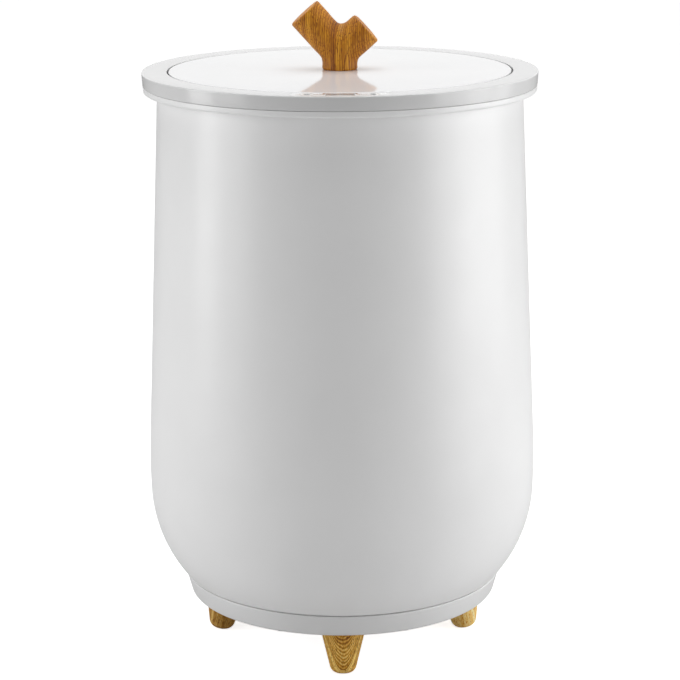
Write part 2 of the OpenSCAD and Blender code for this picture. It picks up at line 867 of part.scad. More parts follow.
module sensor_leads() {
    end_r = header_x + header_w / 2;
    end_z = power_top_z + header_h / 2;
    tops = [bucket_under_z - sensor_h, bucket_under_z - thermostat_h - tab_w,
        bucket_under_z - clip_t - fuse_d + slip_gap];
    color("ivory") for (step = [-1:1]) around(-90) translate([step * sensor_pitch, 0, 0])
        wire(eased([[sensor_r, tops[step + 1]], [sensor_r, end_z + wire_bend],
            [sensor_r - wire_bend, end_z], [end_r, end_z]], wire_bend), lead_d);
}

module power_board() {
    color("seagreen") difference() {
        translate([-power_w / 2, -power_l / 2, power_z]) cube([power_w, power_l, board_t]);
        at_power_posts(power_z - eps)
            cylinder(h = board_t + 2 * eps, d = small_screw_d + hole_gap);
    }
}

module power_transformer() {
    color("darkorange") translate([transformer_x, transformer_y, power_top_z]) {
        translate([-core_w / 2, -core_l / 2, 0]) cube([core_w, core_l, core_h]);
        translate([-coil_w / 2, -coil_w / 2, 0]) cube([coil_w, coil_w, part_h]);
    }
}

module heater_relay() {
    color("royalblue") translate([relay_x, relay_y, power_top_z])
        translate([-relay_w / 2, -relay_l / 2, 0]) cube([relay_w, relay_l, relay_h]);
}

module filter_capacitor() {
    color("navy") translate([capacitor_x, capacitor_y, power_top_z])
        cylinder(h = part_h, d = capacitor_d);
}

// Screw terminals at the right edge of the power board
module heater_terminals() {
    color("mediumseagreen") translate([header_x + (header_w - terminal_w) / 2, 0, power_top_z])
        difference() {
            translate([-terminal_w / 2, -terminal_l / 2, 0])
                cube([terminal_w, terminal_l, terminal_h]);
            for (s = [-1, 1]) translate([0, s * terminal_l / 4, terminal_h - terminal_well])
                cylinder(h = terminal_h, d = terminal_well);
        }
}

module harness_header() {
    color("ivory") around(harness_a, panel_header_r, power_top_z)
        translate([-header_w / 2, -header_w / 2, 0]) cube([header_w, header_w, header_h]);
}

module sensor_header() {
    color("ivory") translate([-header_x - header_w / 2, -sensor_pitch - header_w / 2, power_top_z])
        cube([header_w, 2 * sensor_pitch + header_w, header_h]);
}

module power_board_screws() {
    color("silver") at_power_posts(power_top_z) rotate([180, 0, 0])
        screw(small_screw_d, board_t + power_post_h - screw_tip_gap, small_head_d, small_head_h);
}

module base_cover() {
    color("white") difference() {
        union() {
            rotate_extrude() polygon(concat(
                [[0, base_z]],
                arc(base_low_r - base_round, base_z + base_round, base_round, -90, -base_flank_a, 5),
                [[seam_r, seam_z - seam_gap], [spigot_r, seam_z - seam_gap],
                    [spigot_r, seam_z + spigot_h], [spigot_r - spigot_wall, seam_z + spigot_h],
                    [spigot_r - spigot_wall, seam_z - base_wall],
                    [base_low_r - base_wall, base_floor_z], [0, base_floor_z]]));
            at_base_screws(base_floor_z - eps)
                cylinder(h = base_boss_z - base_floor_z + eps, d = base_post_d);
            at_feet(base_floor_z - eps) cylinder(h = foot_pad_h + eps, d = foot_pad_d);
            at_power_posts(base_floor_z - eps) cylinder(h = power_post_h + eps, d = power_post_d);
            around(180) translate([0, -gland_in_r, gland_z]) rotate([90, 0, 0])
                cylinder(h = gland_run, d = gland_boss_d);
        }
        at_base_screws(base_z - eps)
            cylinder(h = base_boss_z - base_z + 2 * eps, d = base_screw_d + hole_gap);
        at_feet(base_z - eps)
            cylinder(h = foot_pad_z - base_z + 2 * eps, d = foot_screw_d + hole_gap);
        at_power_posts(base_floor_z)
            cylinder(h = power_post_h + eps, d = pilot_d(small_screw_d));
        around(180) translate([0, -gland_in_r + drill_over, gland_z]) rotate([90, 0, 0])
            cylinder(h = gland_run + 2 * drill_over, d = gland_d);
        for (i = [0:vent_count - 1])
            translate([-vent_l / 2, (i - (vent_count - 1) / 2) * vent_pitch - vent_w / 2, base_z - eps])
                cube([vent_l, vent_w, base_floor_t + 2 * eps]);
    }
}

module base_screws() {
    color("silver") at_base_screws(base_z)
        screw(base_screw_d, base_boss_z + base_boss_h - base_boss_end - screw_tip_gap - base_z,
            base_head_d, base_head_h);
}

// The bush that a supply cord comes out of, snapped into the base's rear
module cord_gland() {
    neck = gland_d / 2 - slip_gap;
    lip = gland_d / 2 + gland_lip_step;
    color("dimgray") around(180) translate([0, -gland_in_r, gland_z]) rotate([90, 0, 0])
        rotate_extrude() polygon([
            [gland_bore / 2, -gland_lip_l], [neck, -gland_lip_l], [lip, -slip_gap],
            [neck, -slip_gap], [neck, gland_run], [gland_flange_d / 2, gland_run],
            [gland_flange_d / 2, gland_run + gland_flange_t],
            [gland_bore / 2, gland_run + gland_flange_t]]);
}

// A turned wooden foot: its tip is rounded and leans outwards, its ends are cut level
module foot(a) {
    tip_r = foot_tip_d / 2;
    tip_z = -foot_h / cos(foot_splay);
    top_z = foot_d / 2;
    flare = (foot_d - foot_tip_d) / 2 / (-tip_z - foot_round);
    color("peru") around(a, foot_r) difference() {
        intersection() {
            translate([0, 0, foot_h]) rotate([-foot_splay, 0, 0]) rotate_extrude() polygon(concat(
                [[0, tip_z]],
                arc(tip_r - foot_round, tip_z + foot_round, foot_round, -90, -atan(flare), 5),
                [[foot_d / 2 + flare * top_z, top_z], [0, top_z]]));
            translate([-foot_d, -foot_d, 0]) cube([2 * foot_d, 2 * foot_d, foot_h]);
        }
        translate([0, 0, foot_pad_z - foot_screw_l - screw_tip_gap])
            cylinder(h = foot_screw_l, d = pilot_d(foot_screw_d));
    }
}

module front_foot() {
    foot(foot_angles[0]);
}

module right_foot() {
    foot(foot_angles[1]);
}

module rear_foot() {
    foot(foot_angles[2]);
}

module left_foot() {
    foot(foot_angles[3]);
}

module foot_screws() {
    color("silver") at_feet(foot_pad_z) rotate([180, 0, 0])
        screw(foot_screw_d, foot_screw_l, foot_head_d, foot_head_h);
}

lid_cover();
lid_liner();
lid_insulation();
lid_gasket();
lid_handle();
handle_insert();
handle_washer();
handle_screw();
lid_screws();
top_ring();
panel_fascia();
display_lens();
display_module();
power_key();
timer_key();
power_plunger();
timer_plunger();
power_switch();
timer_switch();
control_board();
panel_connector();
control_board_screws();
ring_screws();
bucket_seal();
casing_collar();
outer_casing();
inner_bucket();
heater_band();
insulation_jacket();
floor_insulation();
thermostat();
thermal_fuse();
temperature_sensor();
panel_harness();
heater_leads();
sensor_leads();
power_board();
power_transformer();
heater_relay();
filter_capacitor();
heater_terminals();
harness_header();
sensor_header();
power_board_screws();
base_cover();
base_screws();
cord_gland();
front_foot();
right_foot();
rear_foot();
left_foot();
foot_screws();
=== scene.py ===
"""Looks of a towel warmer bucket: a white heated drum with a lift-off lid and wooden feet.

All sizes are in millimetres in the drum's own frame: the origin is on the floor under the drum's
axis, +Z is up and the control panel faces -Y.
"""

import logging
import math
from dataclasses import dataclass
from enum import Enum
from typing import Iterable, Optional, Sequence

import bpy
from mathutils import Matrix, Vector


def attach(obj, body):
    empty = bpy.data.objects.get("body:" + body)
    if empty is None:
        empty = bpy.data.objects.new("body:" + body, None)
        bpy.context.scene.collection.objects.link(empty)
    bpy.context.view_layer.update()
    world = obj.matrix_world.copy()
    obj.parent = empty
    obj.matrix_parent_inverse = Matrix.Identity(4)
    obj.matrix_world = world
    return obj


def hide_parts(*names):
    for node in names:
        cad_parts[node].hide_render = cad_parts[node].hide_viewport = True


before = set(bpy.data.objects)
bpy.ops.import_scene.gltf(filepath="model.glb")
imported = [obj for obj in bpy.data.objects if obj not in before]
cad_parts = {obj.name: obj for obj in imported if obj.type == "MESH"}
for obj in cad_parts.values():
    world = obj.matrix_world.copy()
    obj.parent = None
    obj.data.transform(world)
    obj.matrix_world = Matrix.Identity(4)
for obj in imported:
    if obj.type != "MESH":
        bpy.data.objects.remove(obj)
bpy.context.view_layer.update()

LOG = logging.getLogger("towel_bucket")

# One millimetre in Blender's metres.
MM = 0.001
# Steps of a full turn: round the drum, the wooden pieces, the keys, and rods in general.
STEPS = 192
WOOD_STEPS = 96
KEY_STEPS = 72
ROD_STEPS = 64
# The same for small things: posts and symbols, screw heads' recesses, and screw holes.
POST_STEPS = 48
HOLE_STEPS = 32
FINE_HOLE_STEPS = 24
# Largest turn of one step of a rounding, in degrees, and steps across a block's rounded edge.
FINE_ANGLE = 10.0
EDGE_STEPS = 3
# Largest share of a side of an outline that the rounding of one corner takes.
SIDE_SHARE = 0.49
# How far a cutter runs past the face that it opens, and how far a post is sunk in what it meets.
OVERRUN = 1.0
SINK = 0.5
# Points of a mesh that are closer than this many metres are one point.
WELD = 1e-6
# Range in which noise mostly stays, and the part of it over which a faint cloud of colour shifts.
NOISE_LOW, NOISE_HIGH = 0.3, 0.7
CLOUD_LOW, CLOUD_HIGH = 0.35, 0.65
# The surroundings and the floor, as the camera sees them.
WHITE = "#FFFFFF"

Point = tuple[float, float]
Triple = tuple[float, float, float]


# Shapes


@dataclass(frozen=True)
class Corner:
    """A corner of an outline: radius from the axis, height, and how far it is rounded."""

    r: float
    z: float
    ease: float = 0.0


def arc(r: float, z: float, radius: float, start: float, end: float, count: int) -> list[Corner]:
    """Gives corners along an arc.

    Args:
        r: Distance of the arc's centre from the axis.
        z: Height of the arc's centre.
        radius: Radius of the arc.
        start: Angle at the first corner, in degrees from outwards.
        end: Angle at the last corner, in degrees.
        count: Number of steps.

    Returns:
        The corners in order.
    """
    angles = [math.radians(start + (end - start) * i / count) for i in range(count + 1)]
    return [Corner(r + radius * math.cos(a), z + radius * math.sin(a)) for a in angles]


def eased(corners: Sequence[Corner], closed: bool) -> list[Point]:
    """Replaces each rounded corner of an outline by short steps along its curve.

    Args:
        corners: The outline's corners in order.
        closed: Whether the outline comes back to its first corner.

    Returns:
        Points of radius and height.
    """
    points: list[Point] = []
    last = len(corners) - 1
    for i, corner in enumerate(corners):
        here = Vector((corner.r, corner.z))
        if corner.ease <= 0 or (not closed and i in (0, last)):
            points.append((corner.r, corner.z))
            continue
        before, after = corners[i - 1], corners[(i + 1) % len(corners)]
        back = Vector((before.r, before.z)) - here
        ahead = Vector((after.r, after.z)) - here
        angle = back.angle(ahead)
        reach = min(corner.ease / math.tan(angle / 2),
                    back.length * SIDE_SHARE, ahead.length * SIDE_SHARE)
        radius = reach * math.tan(angle / 2)
        back.normalize()
        ahead.normalize()
        centre = here + (back + ahead).normalized() * radius / math.sin(angle / 2)
        first = here + back * reach - centre
        turn = (here + ahead * reach - centre).angle_signed(first)
        count = max(2, math.ceil(abs(turn) / math.radians(FINE_ANGLE)))
        for k in range(count + 1):
            spoke = Matrix.Rotation(turn * k / count, 2) @ first
            points.append((centre.x + spoke.x, centre.y + spoke.y))
    return points


def clear_bench() -> None:
    """Leaves edit mode and deselects everything."""
    active = bpy.context.view_layer.objects.active
    if active is not None and active.mode != "OBJECT":
        bpy.ops.object.mode_set(mode="OBJECT")
    bpy.ops.object.select_all(action="DESELECT")


def hold(piece: bpy.types.Object) -> None:
    """Selects one piece and nothing else.

    Args:
        piece: The piece to work on.
    """
    clear_bench()
    piece.select_set(True)
    bpy.context.view_layer.objects.active = piece


def name_piece(piece: bpy.types.Object, name: str) -> bpy.types.Object:
    """Names a piece and its mesh.

    Args:
        piece: The piece.
        name: Its new name.

    Returns:
        The piece.
    """
    piece.name = name
    piece.data.name = name
    return piece


def edit() -> None:
    """Enters edit mode with the whole mesh selected, by its vertices."""
    bpy.ops.object.mode_set(mode="EDIT")
    bpy.ops.mesh.select_mode(type="VERT")
    bpy.ops.mesh.select_all(action="SELECT")


def finish_mesh(piece: bpy.types.Object, angle: float = 32.0) -> bpy.types.Object:
    """Shades a piece smooth, apart from its sharp edges.

    Args:
        piece: The piece.
        angle: Smallest angle between two faces, in degrees, whose edge stays sharp.

    Returns:
        The piece.
    """
    hold(piece)
    bpy.ops.object.shade_smooth_by_angle(angle=math.radians(angle))
    clear_bench()
    return piece


def turned(name: str, corners: Sequence[Corner], closed: bool = True, steps: int = STEPS,
           sweep: float = 360.0) -> bpy.types.Object:
    """Draws an outline point by point and spins it round the drum's axis.

    Args:
        name: Name of the piece.
        corners: Corners of the outline; an open one begins and ends on the axis.
        closed: Whether the outline comes back to its first corner.
        steps: Steps of the spin.
        sweep: Angle of the spin in degrees; less than a full turn is centred on the front.

    Returns:
        The piece, with its normals outwards.
    """
    whole = sweep >= 360.0
    points = eased(corners, closed)
    if closed:
        points.append(points[0])
    clear_bench()
    bpy.ops.mesh.primitive_plane_add(size=MM)
    piece = name_piece(bpy.context.object, name)
    edit()
    bpy.ops.mesh.merge(type="CENTER")
    bpy.ops.transform.translate(value=(points[0][0] * MM, 0, points[0][1] * MM))
    for (r0, z0), (r1, z1) in zip(points, points[1:]):
        move = ((r1 - r0) * MM, 0, (z1 - z0) * MM)
        bpy.ops.mesh.extrude_vertices_move(TRANSFORM_OT_translate={"value": move})
    bpy.ops.mesh.select_all(action="SELECT")
    bpy.ops.mesh.remove_doubles(threshold=WELD)
    bpy.ops.mesh.select_all(action="SELECT")
    bpy.ops.mesh.spin(steps=steps, angle=math.radians(sweep), center=(0, 0, 0), axis=(0, 0, 1))
    bpy.ops.mesh.select_all(action="SELECT")
    bpy.ops.mesh.remove_doubles(threshold=WELD)
    if not whole:
        bpy.ops.mesh.select_all(action="DESELECT")
        bpy.ops.mesh.select_mode(type="EDGE")
        bpy.ops.mesh.select_non_manifold()
        bpy.ops.mesh.fill_holes(sides=0)
    bpy.ops.mesh.select_all(action="SELECT")
    bpy.ops.mesh.normals_make_consistent(inside=False)
    bpy.ops.object.mode_set(mode="OBJECT")
    if not whole:
        place(piece, lean(sweep / 2 - 90.0, "Z"))
    return piece


def place(piece: bpy.types.Object, matrix: Matrix) -> bpy.types.Object:
    """Moves a piece's mesh and leaves its object at the origin.

    Args:
        piece: The piece.
        matrix: The move or turn.

    Returns:
        The piece.
    """
    piece.data.transform(matrix)
    piece.data.update()
    return piece


def rod(name: str, radius: float, length: float, ease: float = 0.0,
        steps: int = ROD_STEPS) -> bpy.types.Object:
    """Makes an upright rod on z = 0 with both ends rounded over.

    Args:
        name: Name of the piece.
        radius: Radius of the rod.
        length: Length of the rod.
        ease: Roundover of its ends.
        steps: Steps round the rod.

    Returns:
        The rod.
    """
    return turned(name, [Corner(0, 0), Corner(radius, 0, ease), Corner(radius, length, ease),
                         Corner(0, length)], closed=False, steps=steps)


def slab(name: str, size: Sequence[float], ease: float = 0.0) -> bpy.types.Object:
    """Makes a block centred on the origin in plan and standing on z = 0.

    Args:
        name: Name of the piece.
        size: Width, depth and height.
        ease: Rounding of its edges.

    Returns:
        The block.
    """
    clear_bench()
    bpy.ops.mesh.primitive_cube_add(size=MM)
    piece = name_piece(bpy.context.object, name)
    edit()
    bpy.ops.transform.resize(value=tuple(size))
    bpy.ops.transform.translate(value=(0, 0, size[2] / 2 * MM))
    if ease > 0:
        bpy.ops.mesh.bevel(offset=ease * MM, segments=EDGE_STEPS, affect="EDGES")
    bpy.ops.object.mode_set(mode="OBJECT")
    return piece


def copy_of(piece: bpy.types.Object, name: str, matrix: Matrix) -> bpy.types.Object:
    """Copies a piece with a mesh of its own and moves the copy's mesh.

    Args:
        piece: The piece to copy.
        name: Name of the copy.
        matrix: Where the copy goes.

    Returns:
        The copy.
    """
    other = piece.copy()
    other.data = piece.data.copy()
    bpy.context.scene.collection.objects.link(other)
    return place(name_piece(other, name), matrix)


def joined(name: str, pieces: Sequence[bpy.types.Object]) -> bpy.types.Object:
    """Joins pieces into the first one.

    Args:
        name: Name of the joined piece.
        pieces: The pieces, which become one mesh.

    Returns:
        The joined piece.
    """
    hold(pieces[0])
    for piece in pieces[1:]:
        piece.select_set(True)
    bpy.ops.object.join()
    return name_piece(bpy.context.object, name)


class Boolean(Enum):
    """What is kept of two pieces: the first without the second, both, or what they share."""

    CUT = "DIFFERENCE"
    UNITE = "UNION"
    SHARE = "INTERSECT"


def cut(piece: bpy.types.Object, cutter: bpy.types.Object, kept: Boolean = Boolean.CUT) -> None:
    """Cuts a piece with a cutter, or unites them, and removes the cutter.

    Args:
        piece: The piece that stays.
        cutter: The piece that is used up.
        kept: What is kept of the two.
    """
    hold(piece)
    tool = piece.modifiers.new("cut", "BOOLEAN")
    tool.operation = kept.value
    tool.solver = "EXACT"
    tool.object = cutter
    bpy.ops.object.modifier_apply(modifier=tool.name)
    bpy.data.objects.remove(cutter)


def soften(piece: bpy.types.Object, width: float, segments: int = 2, angle: float = 40.0) -> None:
    """Rounds every edge of a piece that is sharper than an angle.

    Args:
        piece: The piece.
        width: Width of the rounding.
        segments: Steps across it.
        angle: Smallest angle between two faces, in degrees, that is rounded.
    """
    hold(piece)
    tool = piece.modifiers.new("soften", "BEVEL")
    tool.width = width * MM
    tool.segments = segments
    tool.limit_method = "ANGLE"
    tool.angle_limit = math.radians(angle)
    bpy.ops.object.modifier_apply(modifier=tool.name)


def around(angle: float, r: float = 0.0, z: float = 0.0) -> Matrix:
    """Gives the place at an angle from the front, a radius from the axis and a height."""
    return Matrix.Rotation(math.radians(angle), 4, "Z") @ Matrix.Translation((0, -r * MM, z * MM))


def spaced(count: int) -> list[float]:
    """Gives the angles of things that are spaced evenly round the drum, with none at the front."""
    return [(i + 0.5) * 360 / count for i in range(count)]


def shift(x: float = 0.0, y: float = 0.0, z: float = 0.0) -> Matrix:
    """Gives a move along the three axes."""
    return Matrix.Translation((x * MM, y * MM, z * MM))


def lean(angle: float, axis: str) -> Matrix:
    """Gives a turn about an axis, in degrees."""
    return Matrix.Rotation(math.radians(angle), 4, axis)


# Finishes


def linear(colour: str) -> tuple[float, float, float, float]:
    """Turns an sRGB hex colour such as #C08040 to linear light.

    Args:
        colour: The hex colour.

    Returns:
        Red, green, blue and an alpha of 1.
    """
    parts = [int(colour[i:i + 2], 16) / 255 for i in (1, 3, 5)]
    red, green, blue = [p / 12.92 if p <= 0.04045 else ((p + 0.055) / 1.055) ** 2.4 for p in parts]
    return red, green, blue, 1.0


def per_mm(length: float) -> float:
    """Gives the scale of a pattern that repeats about every length in millimetres."""
    return 1.0 / (length * MM)


def add(tree: bpy.types.NodeTree, kind: str, inputs: Optional[dict] = None,
        **settings: object) -> bpy.types.Node:
    """Adds a shader node with its settings and links.

    Args:
        tree: The material's node tree.
        kind: The node's type without its ShaderNode prefix.
        inputs: Values, or other nodes' outputs, by the name or number of the socket.
        **settings: The node's own properties; stops gives a colour ramp's stops.

    Returns:
        The node.
    """
    node = tree.nodes.new("ShaderNode" + kind)
    stops = settings.pop("stops", None)
    for name, value in settings.items():
        setattr(node, name, value)
    for name, value in (inputs or {}).items():
        if isinstance(value, bpy.types.NodeSocket):
            tree.links.new(value, node.inputs[name])
        else:
            node.inputs[name].default_value = value
    if stops:
        elements = node.color_ramp.elements
        while len(elements) < len(stops):
            elements.new(0.5)
        for element, (position, colour) in zip(elements, stops):
            element.position = position
            element.color = linear(colour)
    return node


@dataclass(frozen=True)
class Finish:
    """A surface finish: what it is made of, how it was made, and its typical optics."""

    name: str
    colour: str
    roughness: float = 0.5
    metallic: float = 0.0
    ior: float = 1.5
    coat: float = 0.0
    coat_roughness: float = 0.05

    def material(self) -> bpy.types.Material:
        """Makes the material, or finds the one that was made before.

        Returns:
            The material.
        """
        made = bpy.data.materials.get(self.name)
        if made is not None:
            return made
        made = bpy.data.materials.new(self.name)
        made.use_nodes = True
        made.diffuse_color = linear(self.colour)
        tree = made.node_tree
        shader = tree.nodes["Principled BSDF"]
        shader.inputs["Base Color"].default_value = linear(self.colour)
        shader.inputs["Roughness"].default_value = self.roughness
        shader.inputs["Metallic"].default_value = self.metallic
        if self.metallic < 1:
            shader.inputs["IOR"].default_value = self.ior
        if self.coat > 0:
            shader.inputs["Coat Weight"].default_value = self.coat
            shader.inputs["Coat Roughness"].default_value = self.coat_roughness
        self.pattern(tree, shader)
        return made

    def pattern(self, tree: bpy.types.NodeTree, shader: bpy.types.Node) -> None:
        """Adds what varies over the surface."""

    def noise(self, tree: bpy.types.NodeTree, size: Sequence[float], detail: float = 2.0,
              vector: Optional[bpy.types.NodeSocket] = None) -> bpy.types.NodeSocket:
        """Adds noise whose grains have a size along each axis.

        Args:
            tree: The node tree.
            size: Size of a grain along X, Y and Z.
            detail: Octaves of finer noise.
            vector: Coordinates to read, or the object's own.

        Returns:
            The noise's value.
        """
        where = vector or add(tree, "TexCoord").outputs["Object"]
        scaled = add(tree, "Mapping", {"Vector": where, "Scale": [per_mm(s) for s in size]})
        return add(tree, "TexNoise", {"Vector": scaled.outputs[0], "Scale": 1.0,
                                      "Detail": detail}).outputs["Fac"]

    def spread(self, tree: bpy.types.NodeTree, value: bpy.types.NodeSocket, low: float,
               high: float) -> bpy.types.NodeSocket:
        """Maps noise to a range, and gives the mapped value."""
        return add(tree, "MapRange", {"Value": value, "From Min": NOISE_LOW, "From Max": NOISE_HIGH,
                                      "To Min": low, "To Max": high}).outputs["Result"]

    def tint(self, tree: bpy.types.NodeTree, shader: bpy.types.Node, value: bpy.types.NodeSocket,
             stops: Sequence[tuple[float, str]]) -> None:
        """Colours the surface by a value through a ramp of stops."""
        ramp = add(tree, "ValToRGB", {"Fac": value}, stops=stops)
        tree.links.new(ramp.outputs["Color"], shader.inputs["Base Color"])

    def rough(self, tree: bpy.types.NodeTree, shader: bpy.types.Node, value: bpy.types.NodeSocket,
              low: float, high: float) -> None:
        """Varies the roughness between two values."""
        tree.links.new(self.spread(tree, value, low, high), shader.inputs["Roughness"])

    def relief(self, tree: bpy.types.NodeTree, shader: bpy.types.Node,
               value: bpy.types.NodeSocket, depth: float, strength: float = 1.0) -> None:
        """Raises the surface by a value, to a depth in millimetres."""
        bump = add(tree, "Bump", {"Height": value, "Distance": depth * MM, "Strength": strength})
        tree.links.new(bump.outputs["Normal"], shader.inputs["Normal"])


@dataclass(frozen=True)
class GlossMoulding(Finish):
    """Injection-moulded plastic: near-white, with the slight ripple that polished tools leave.

    The cloud, the polish and the ripple are the sizes of their grains in millimetres.
    """

    shade: str = "#ECECEB"
    cloud: float = 90.0
    polish: Triple = (14.0, 14.0, 30.0)
    ripple: float = 5.0
    ripple_depth: float = 0.002
    roughness_spread: float = 0.04

    def pattern(self, tree: bpy.types.NodeTree, shader: bpy.types.Node) -> None:
        """Adds a faint cloud in the colour, uneven polish and a long ripple.

        Args:
            tree: The material's node tree.
            shader: Its Principled node.
        """
        cloud = self.noise(tree, (self.cloud,) * 3)
        self.tint(tree, shader, cloud, [(CLOUD_LOW, self.shade), (CLOUD_HIGH, self.colour)])
        polish = self.noise(tree, self.polish, detail=4.0)
        self.rough(tree, shader, polish, self.roughness - self.roughness_spread / 2,
                   self.roughness + self.roughness_spread / 2)
        ripple = self.noise(tree, (self.ripple,) * 3, detail=1.0)
        self.relief(tree, shader, ripple, self.ripple_depth)


@dataclass(frozen=True)
class GrainMoulding(Finish):
    """Moulded plastic or rubber with an even spark-eroded grain, its sizes in millimetres."""

    shade: str = "#202020"
    cloud: float = 25.0
    grain: float = 0.5
    depth: float = 0.02
    relief_strength: float = 0.6
    roughness_spread: float = 0.12

    def pattern(self, tree: bpy.types.NodeTree, shader: bpy.types.Node) -> None:
        """Adds the grain and a faint shift of colour.

        Args:
            tree: The material's node tree.
            shader: Its Principled node.
        """
        self.tint(tree, shader, self.noise(tree, (self.cloud,) * 3),
                  [(CLOUD_LOW, self.shade), (CLOUD_HIGH, self.colour)])
        grain = self.noise(tree, (self.grain,) * 3, detail=3.0)
        self.rough(tree, shader, grain, self.roughness - self.roughness_spread / 2,
                   self.roughness + self.roughness_spread / 2)
        self.relief(tree, shader, grain, self.depth, self.relief_strength)


@dataclass(frozen=True)
class TurnedMetal(Finish):
    """Metal with the fine rings of turning or drawing, or the cloud of plating.

    The line is the spacing of the rings in millimetres, and its length is how far one runs on.
    """

    shade: str = "#A8A8AA"
    cloud: float = 18.0
    line: float = 0.4
    line_length: float = 60.0
    depth: float = 0.004
    relief_strength: float = 0.7
    smoother: float = 0.07
    duller: float = 0.08

    def pattern(self, tree: bpy.types.NodeTree, shader: bpy.types.Node) -> None:
        """Adds fine level lines and a cloud of duller metal.

        Args:
            tree: The material's node tree.
            shader: Its Principled node.
        """
        lines = self.noise(tree, (self.line_length, self.line_length, self.line), detail=3.0)
        self.rough(tree, shader, lines, self.roughness - self.smoother,
                   self.roughness + self.duller)
        self.relief(tree, shader, lines, self.depth, self.relief_strength)
        self.tint(tree, shader, self.noise(tree, (self.cloud,) * 3, detail=3.0),
                  [(CLOUD_LOW, self.shade), (CLOUD_HIGH, self.colour)])


@dataclass(frozen=True)
class OiledWood(Finish):
    """Oiled hardwood cut across its growth layers, with pores and fine fibres along the grain.

    The layers give streaks where they meet the surface square on, and nested V shapes where a
    tapering surface slices along them. The grain runs along the wood's own Z, and the layers lie
    square to its own X. A band is one pale layer: its distance from the centre, and half its width.
    A layer runs from its palest line to its darkest. Layers, drifts, fibres and pores have their
    sizes in millimetres, and the layers wander by a number of layers.
    """

    dark: str = "#703800"
    middle: str = "#AE6A08"
    light: str = "#DE9E2C"
    ramp: Triple = (0.08, 0.45, 0.92)
    layer: float = 0.85
    layer_depth: float = 0.16
    wander: float = 0.9
    wander_grain: Triple = (7.0, 7.0, 26.0)
    drift: float = 6.0
    drift_depth: float = 0.35
    band: tuple[float, float] = (0.0, 0.0)
    band_depth: float = 0.5
    fibre: Triple = (0.9, 0.9, 16.0)
    fibre_depth: float = 0.20
    fibre_relief: float = 0.05
    relief_strength: float = 0.5
    pore: Triple = (0.7, 0.7, 7.0)
    pore_edge: tuple[float, float] = (0.60, 0.68)
    smoother: float = 0.05
    duller: float = 0.08
    centre: Triple = (0.0, 0.0, 0.0)
    turn: float = 0.0
    tilt: float = 0.0

    def pattern(self, tree: bpy.types.NodeTree, shader: bpy.types.Node) -> None:
        """Adds layers, slow drifts of colour, fibres and pores, all running along the grain.

        Args:
            tree: The material's node tree.
            shader: Its Principled node.
        """
        local = self.along_grain(tree)
        fibre = self.noise(tree, self.fibre, detail=4.0, vector=local)
        tone = self.tone(tree, local, fibre)
        ramp = add(tree, "ValToRGB", {"Fac": tone},
                   stops=list(zip(self.ramp, (self.dark, self.middle, self.light))))
        shallow, deep = self.pore_edge
        pores = self.noise(tree, self.pore, detail=1.0, vector=local)
        holes = add(tree, "MapRange", {"Value": pores, "From Min": shallow, "From Max": deep})
        mix = add(tree, "MixRGB", {"Fac": holes.outputs[0], "Color1": ramp.outputs["Color"],
                                   "Color2": linear(self.dark)})
        tree.links.new(mix.outputs[0], shader.inputs["Base Color"])
        self.rough(tree, shader, fibre, self.roughness - self.smoother,
                   self.roughness + self.duller)
        self.relief(tree, shader, fibre, self.fibre_relief, self.relief_strength)

    def along_grain(self, tree: bpy.types.NodeTree) -> bpy.types.NodeSocket:
        """Centres the object's coordinates on the wood's middle and turns them along its grain.

        Args:
            tree: The material's node tree.

        Returns:
            The local coordinates.
        """
        where = add(tree, "TexCoord").outputs["Object"]
        centred = add(tree, "VectorMath", {0: where, 1: [-c * MM for c in self.centre]},
                      operation="ADD").outputs[0]
        turn = (0.0, math.radians(self.tilt), math.radians(self.turn))
        return add(tree, "VectorRotate", {"Vector": centred, "Rotation": turn},
                   rotation_type="EULER_XYZ", invert=True).outputs[0]

    def tone(self, tree: bpy.types.NodeTree, local: bpy.types.NodeSocket,
             fibre: bpy.types.NodeSocket) -> bpy.types.NodeSocket:
        """Adds up how pale the wood is: its growth layers, slow drifts, fibres and pale band.

        Args:
            tree: The material's node tree.
            local: Coordinates along the grain.
            fibre: The fibres' noise.

        Returns:
            The tone, from 0 for the darkest wood to 1 for the palest.
        """
        across = add(tree, "SeparateXYZ", {0: local}).outputs["X"]
        counted = add(tree, "Math", {0: across, 1: per_mm(self.layer)}, operation="MULTIPLY")
        wobble = self.noise(tree, self.wander_grain, vector=local)
        bent = add(tree, "MapRange", {"Value": wobble, "To Min": -self.wander,
                                      "To Max": self.wander})
        phase = add(tree, "Math", {0: counted.outputs[0], 1: bent.outputs[0]},
                    operation="ADD").outputs[0]
        step = add(tree, "Math", {0: phase, 1: 1.0}, operation="PINGPONG").outputs[0]
        slow = add(tree, "Math", {0: phase, 1: self.layer / self.drift},
                   operation="MULTIPLY").outputs[0]
        slow_noise = add(tree, "TexNoise", {"W": slow, "Scale": 1.0, "Detail": 2.0},
                         noise_dimensions="1D").outputs["Fac"]
        layers = add(tree, "MapRange", {"Value": step, "To Min": -self.layer_depth,
                                        "To Max": self.layer_depth}).outputs[0]
        parts = [self.spread(tree, slow_noise, 0.5 - self.drift_depth, 0.5 + self.drift_depth),
                 layers, self.spread(tree, fibre, -self.fibre_depth, self.fibre_depth)]
        depth, width = self.band
        if width > 0:
            away = add(tree, "Math", {0: across, 1: depth * MM}, operation="SUBTRACT").outputs[0]
            away = add(tree, "Math", {0: away}, operation="ABSOLUTE").outputs[0]
            parts.append(add(tree, "MapRange", {
                "Value": away, "From Max": width * MM, "To Min": self.band_depth,
                "To Max": 0.0}).outputs[0])
        tone = parts[0]
        for part in parts[1:]:
            tone = add(tree, "Math", {0: tone, 1: part}, operation="ADD").outputs[0]
        return tone


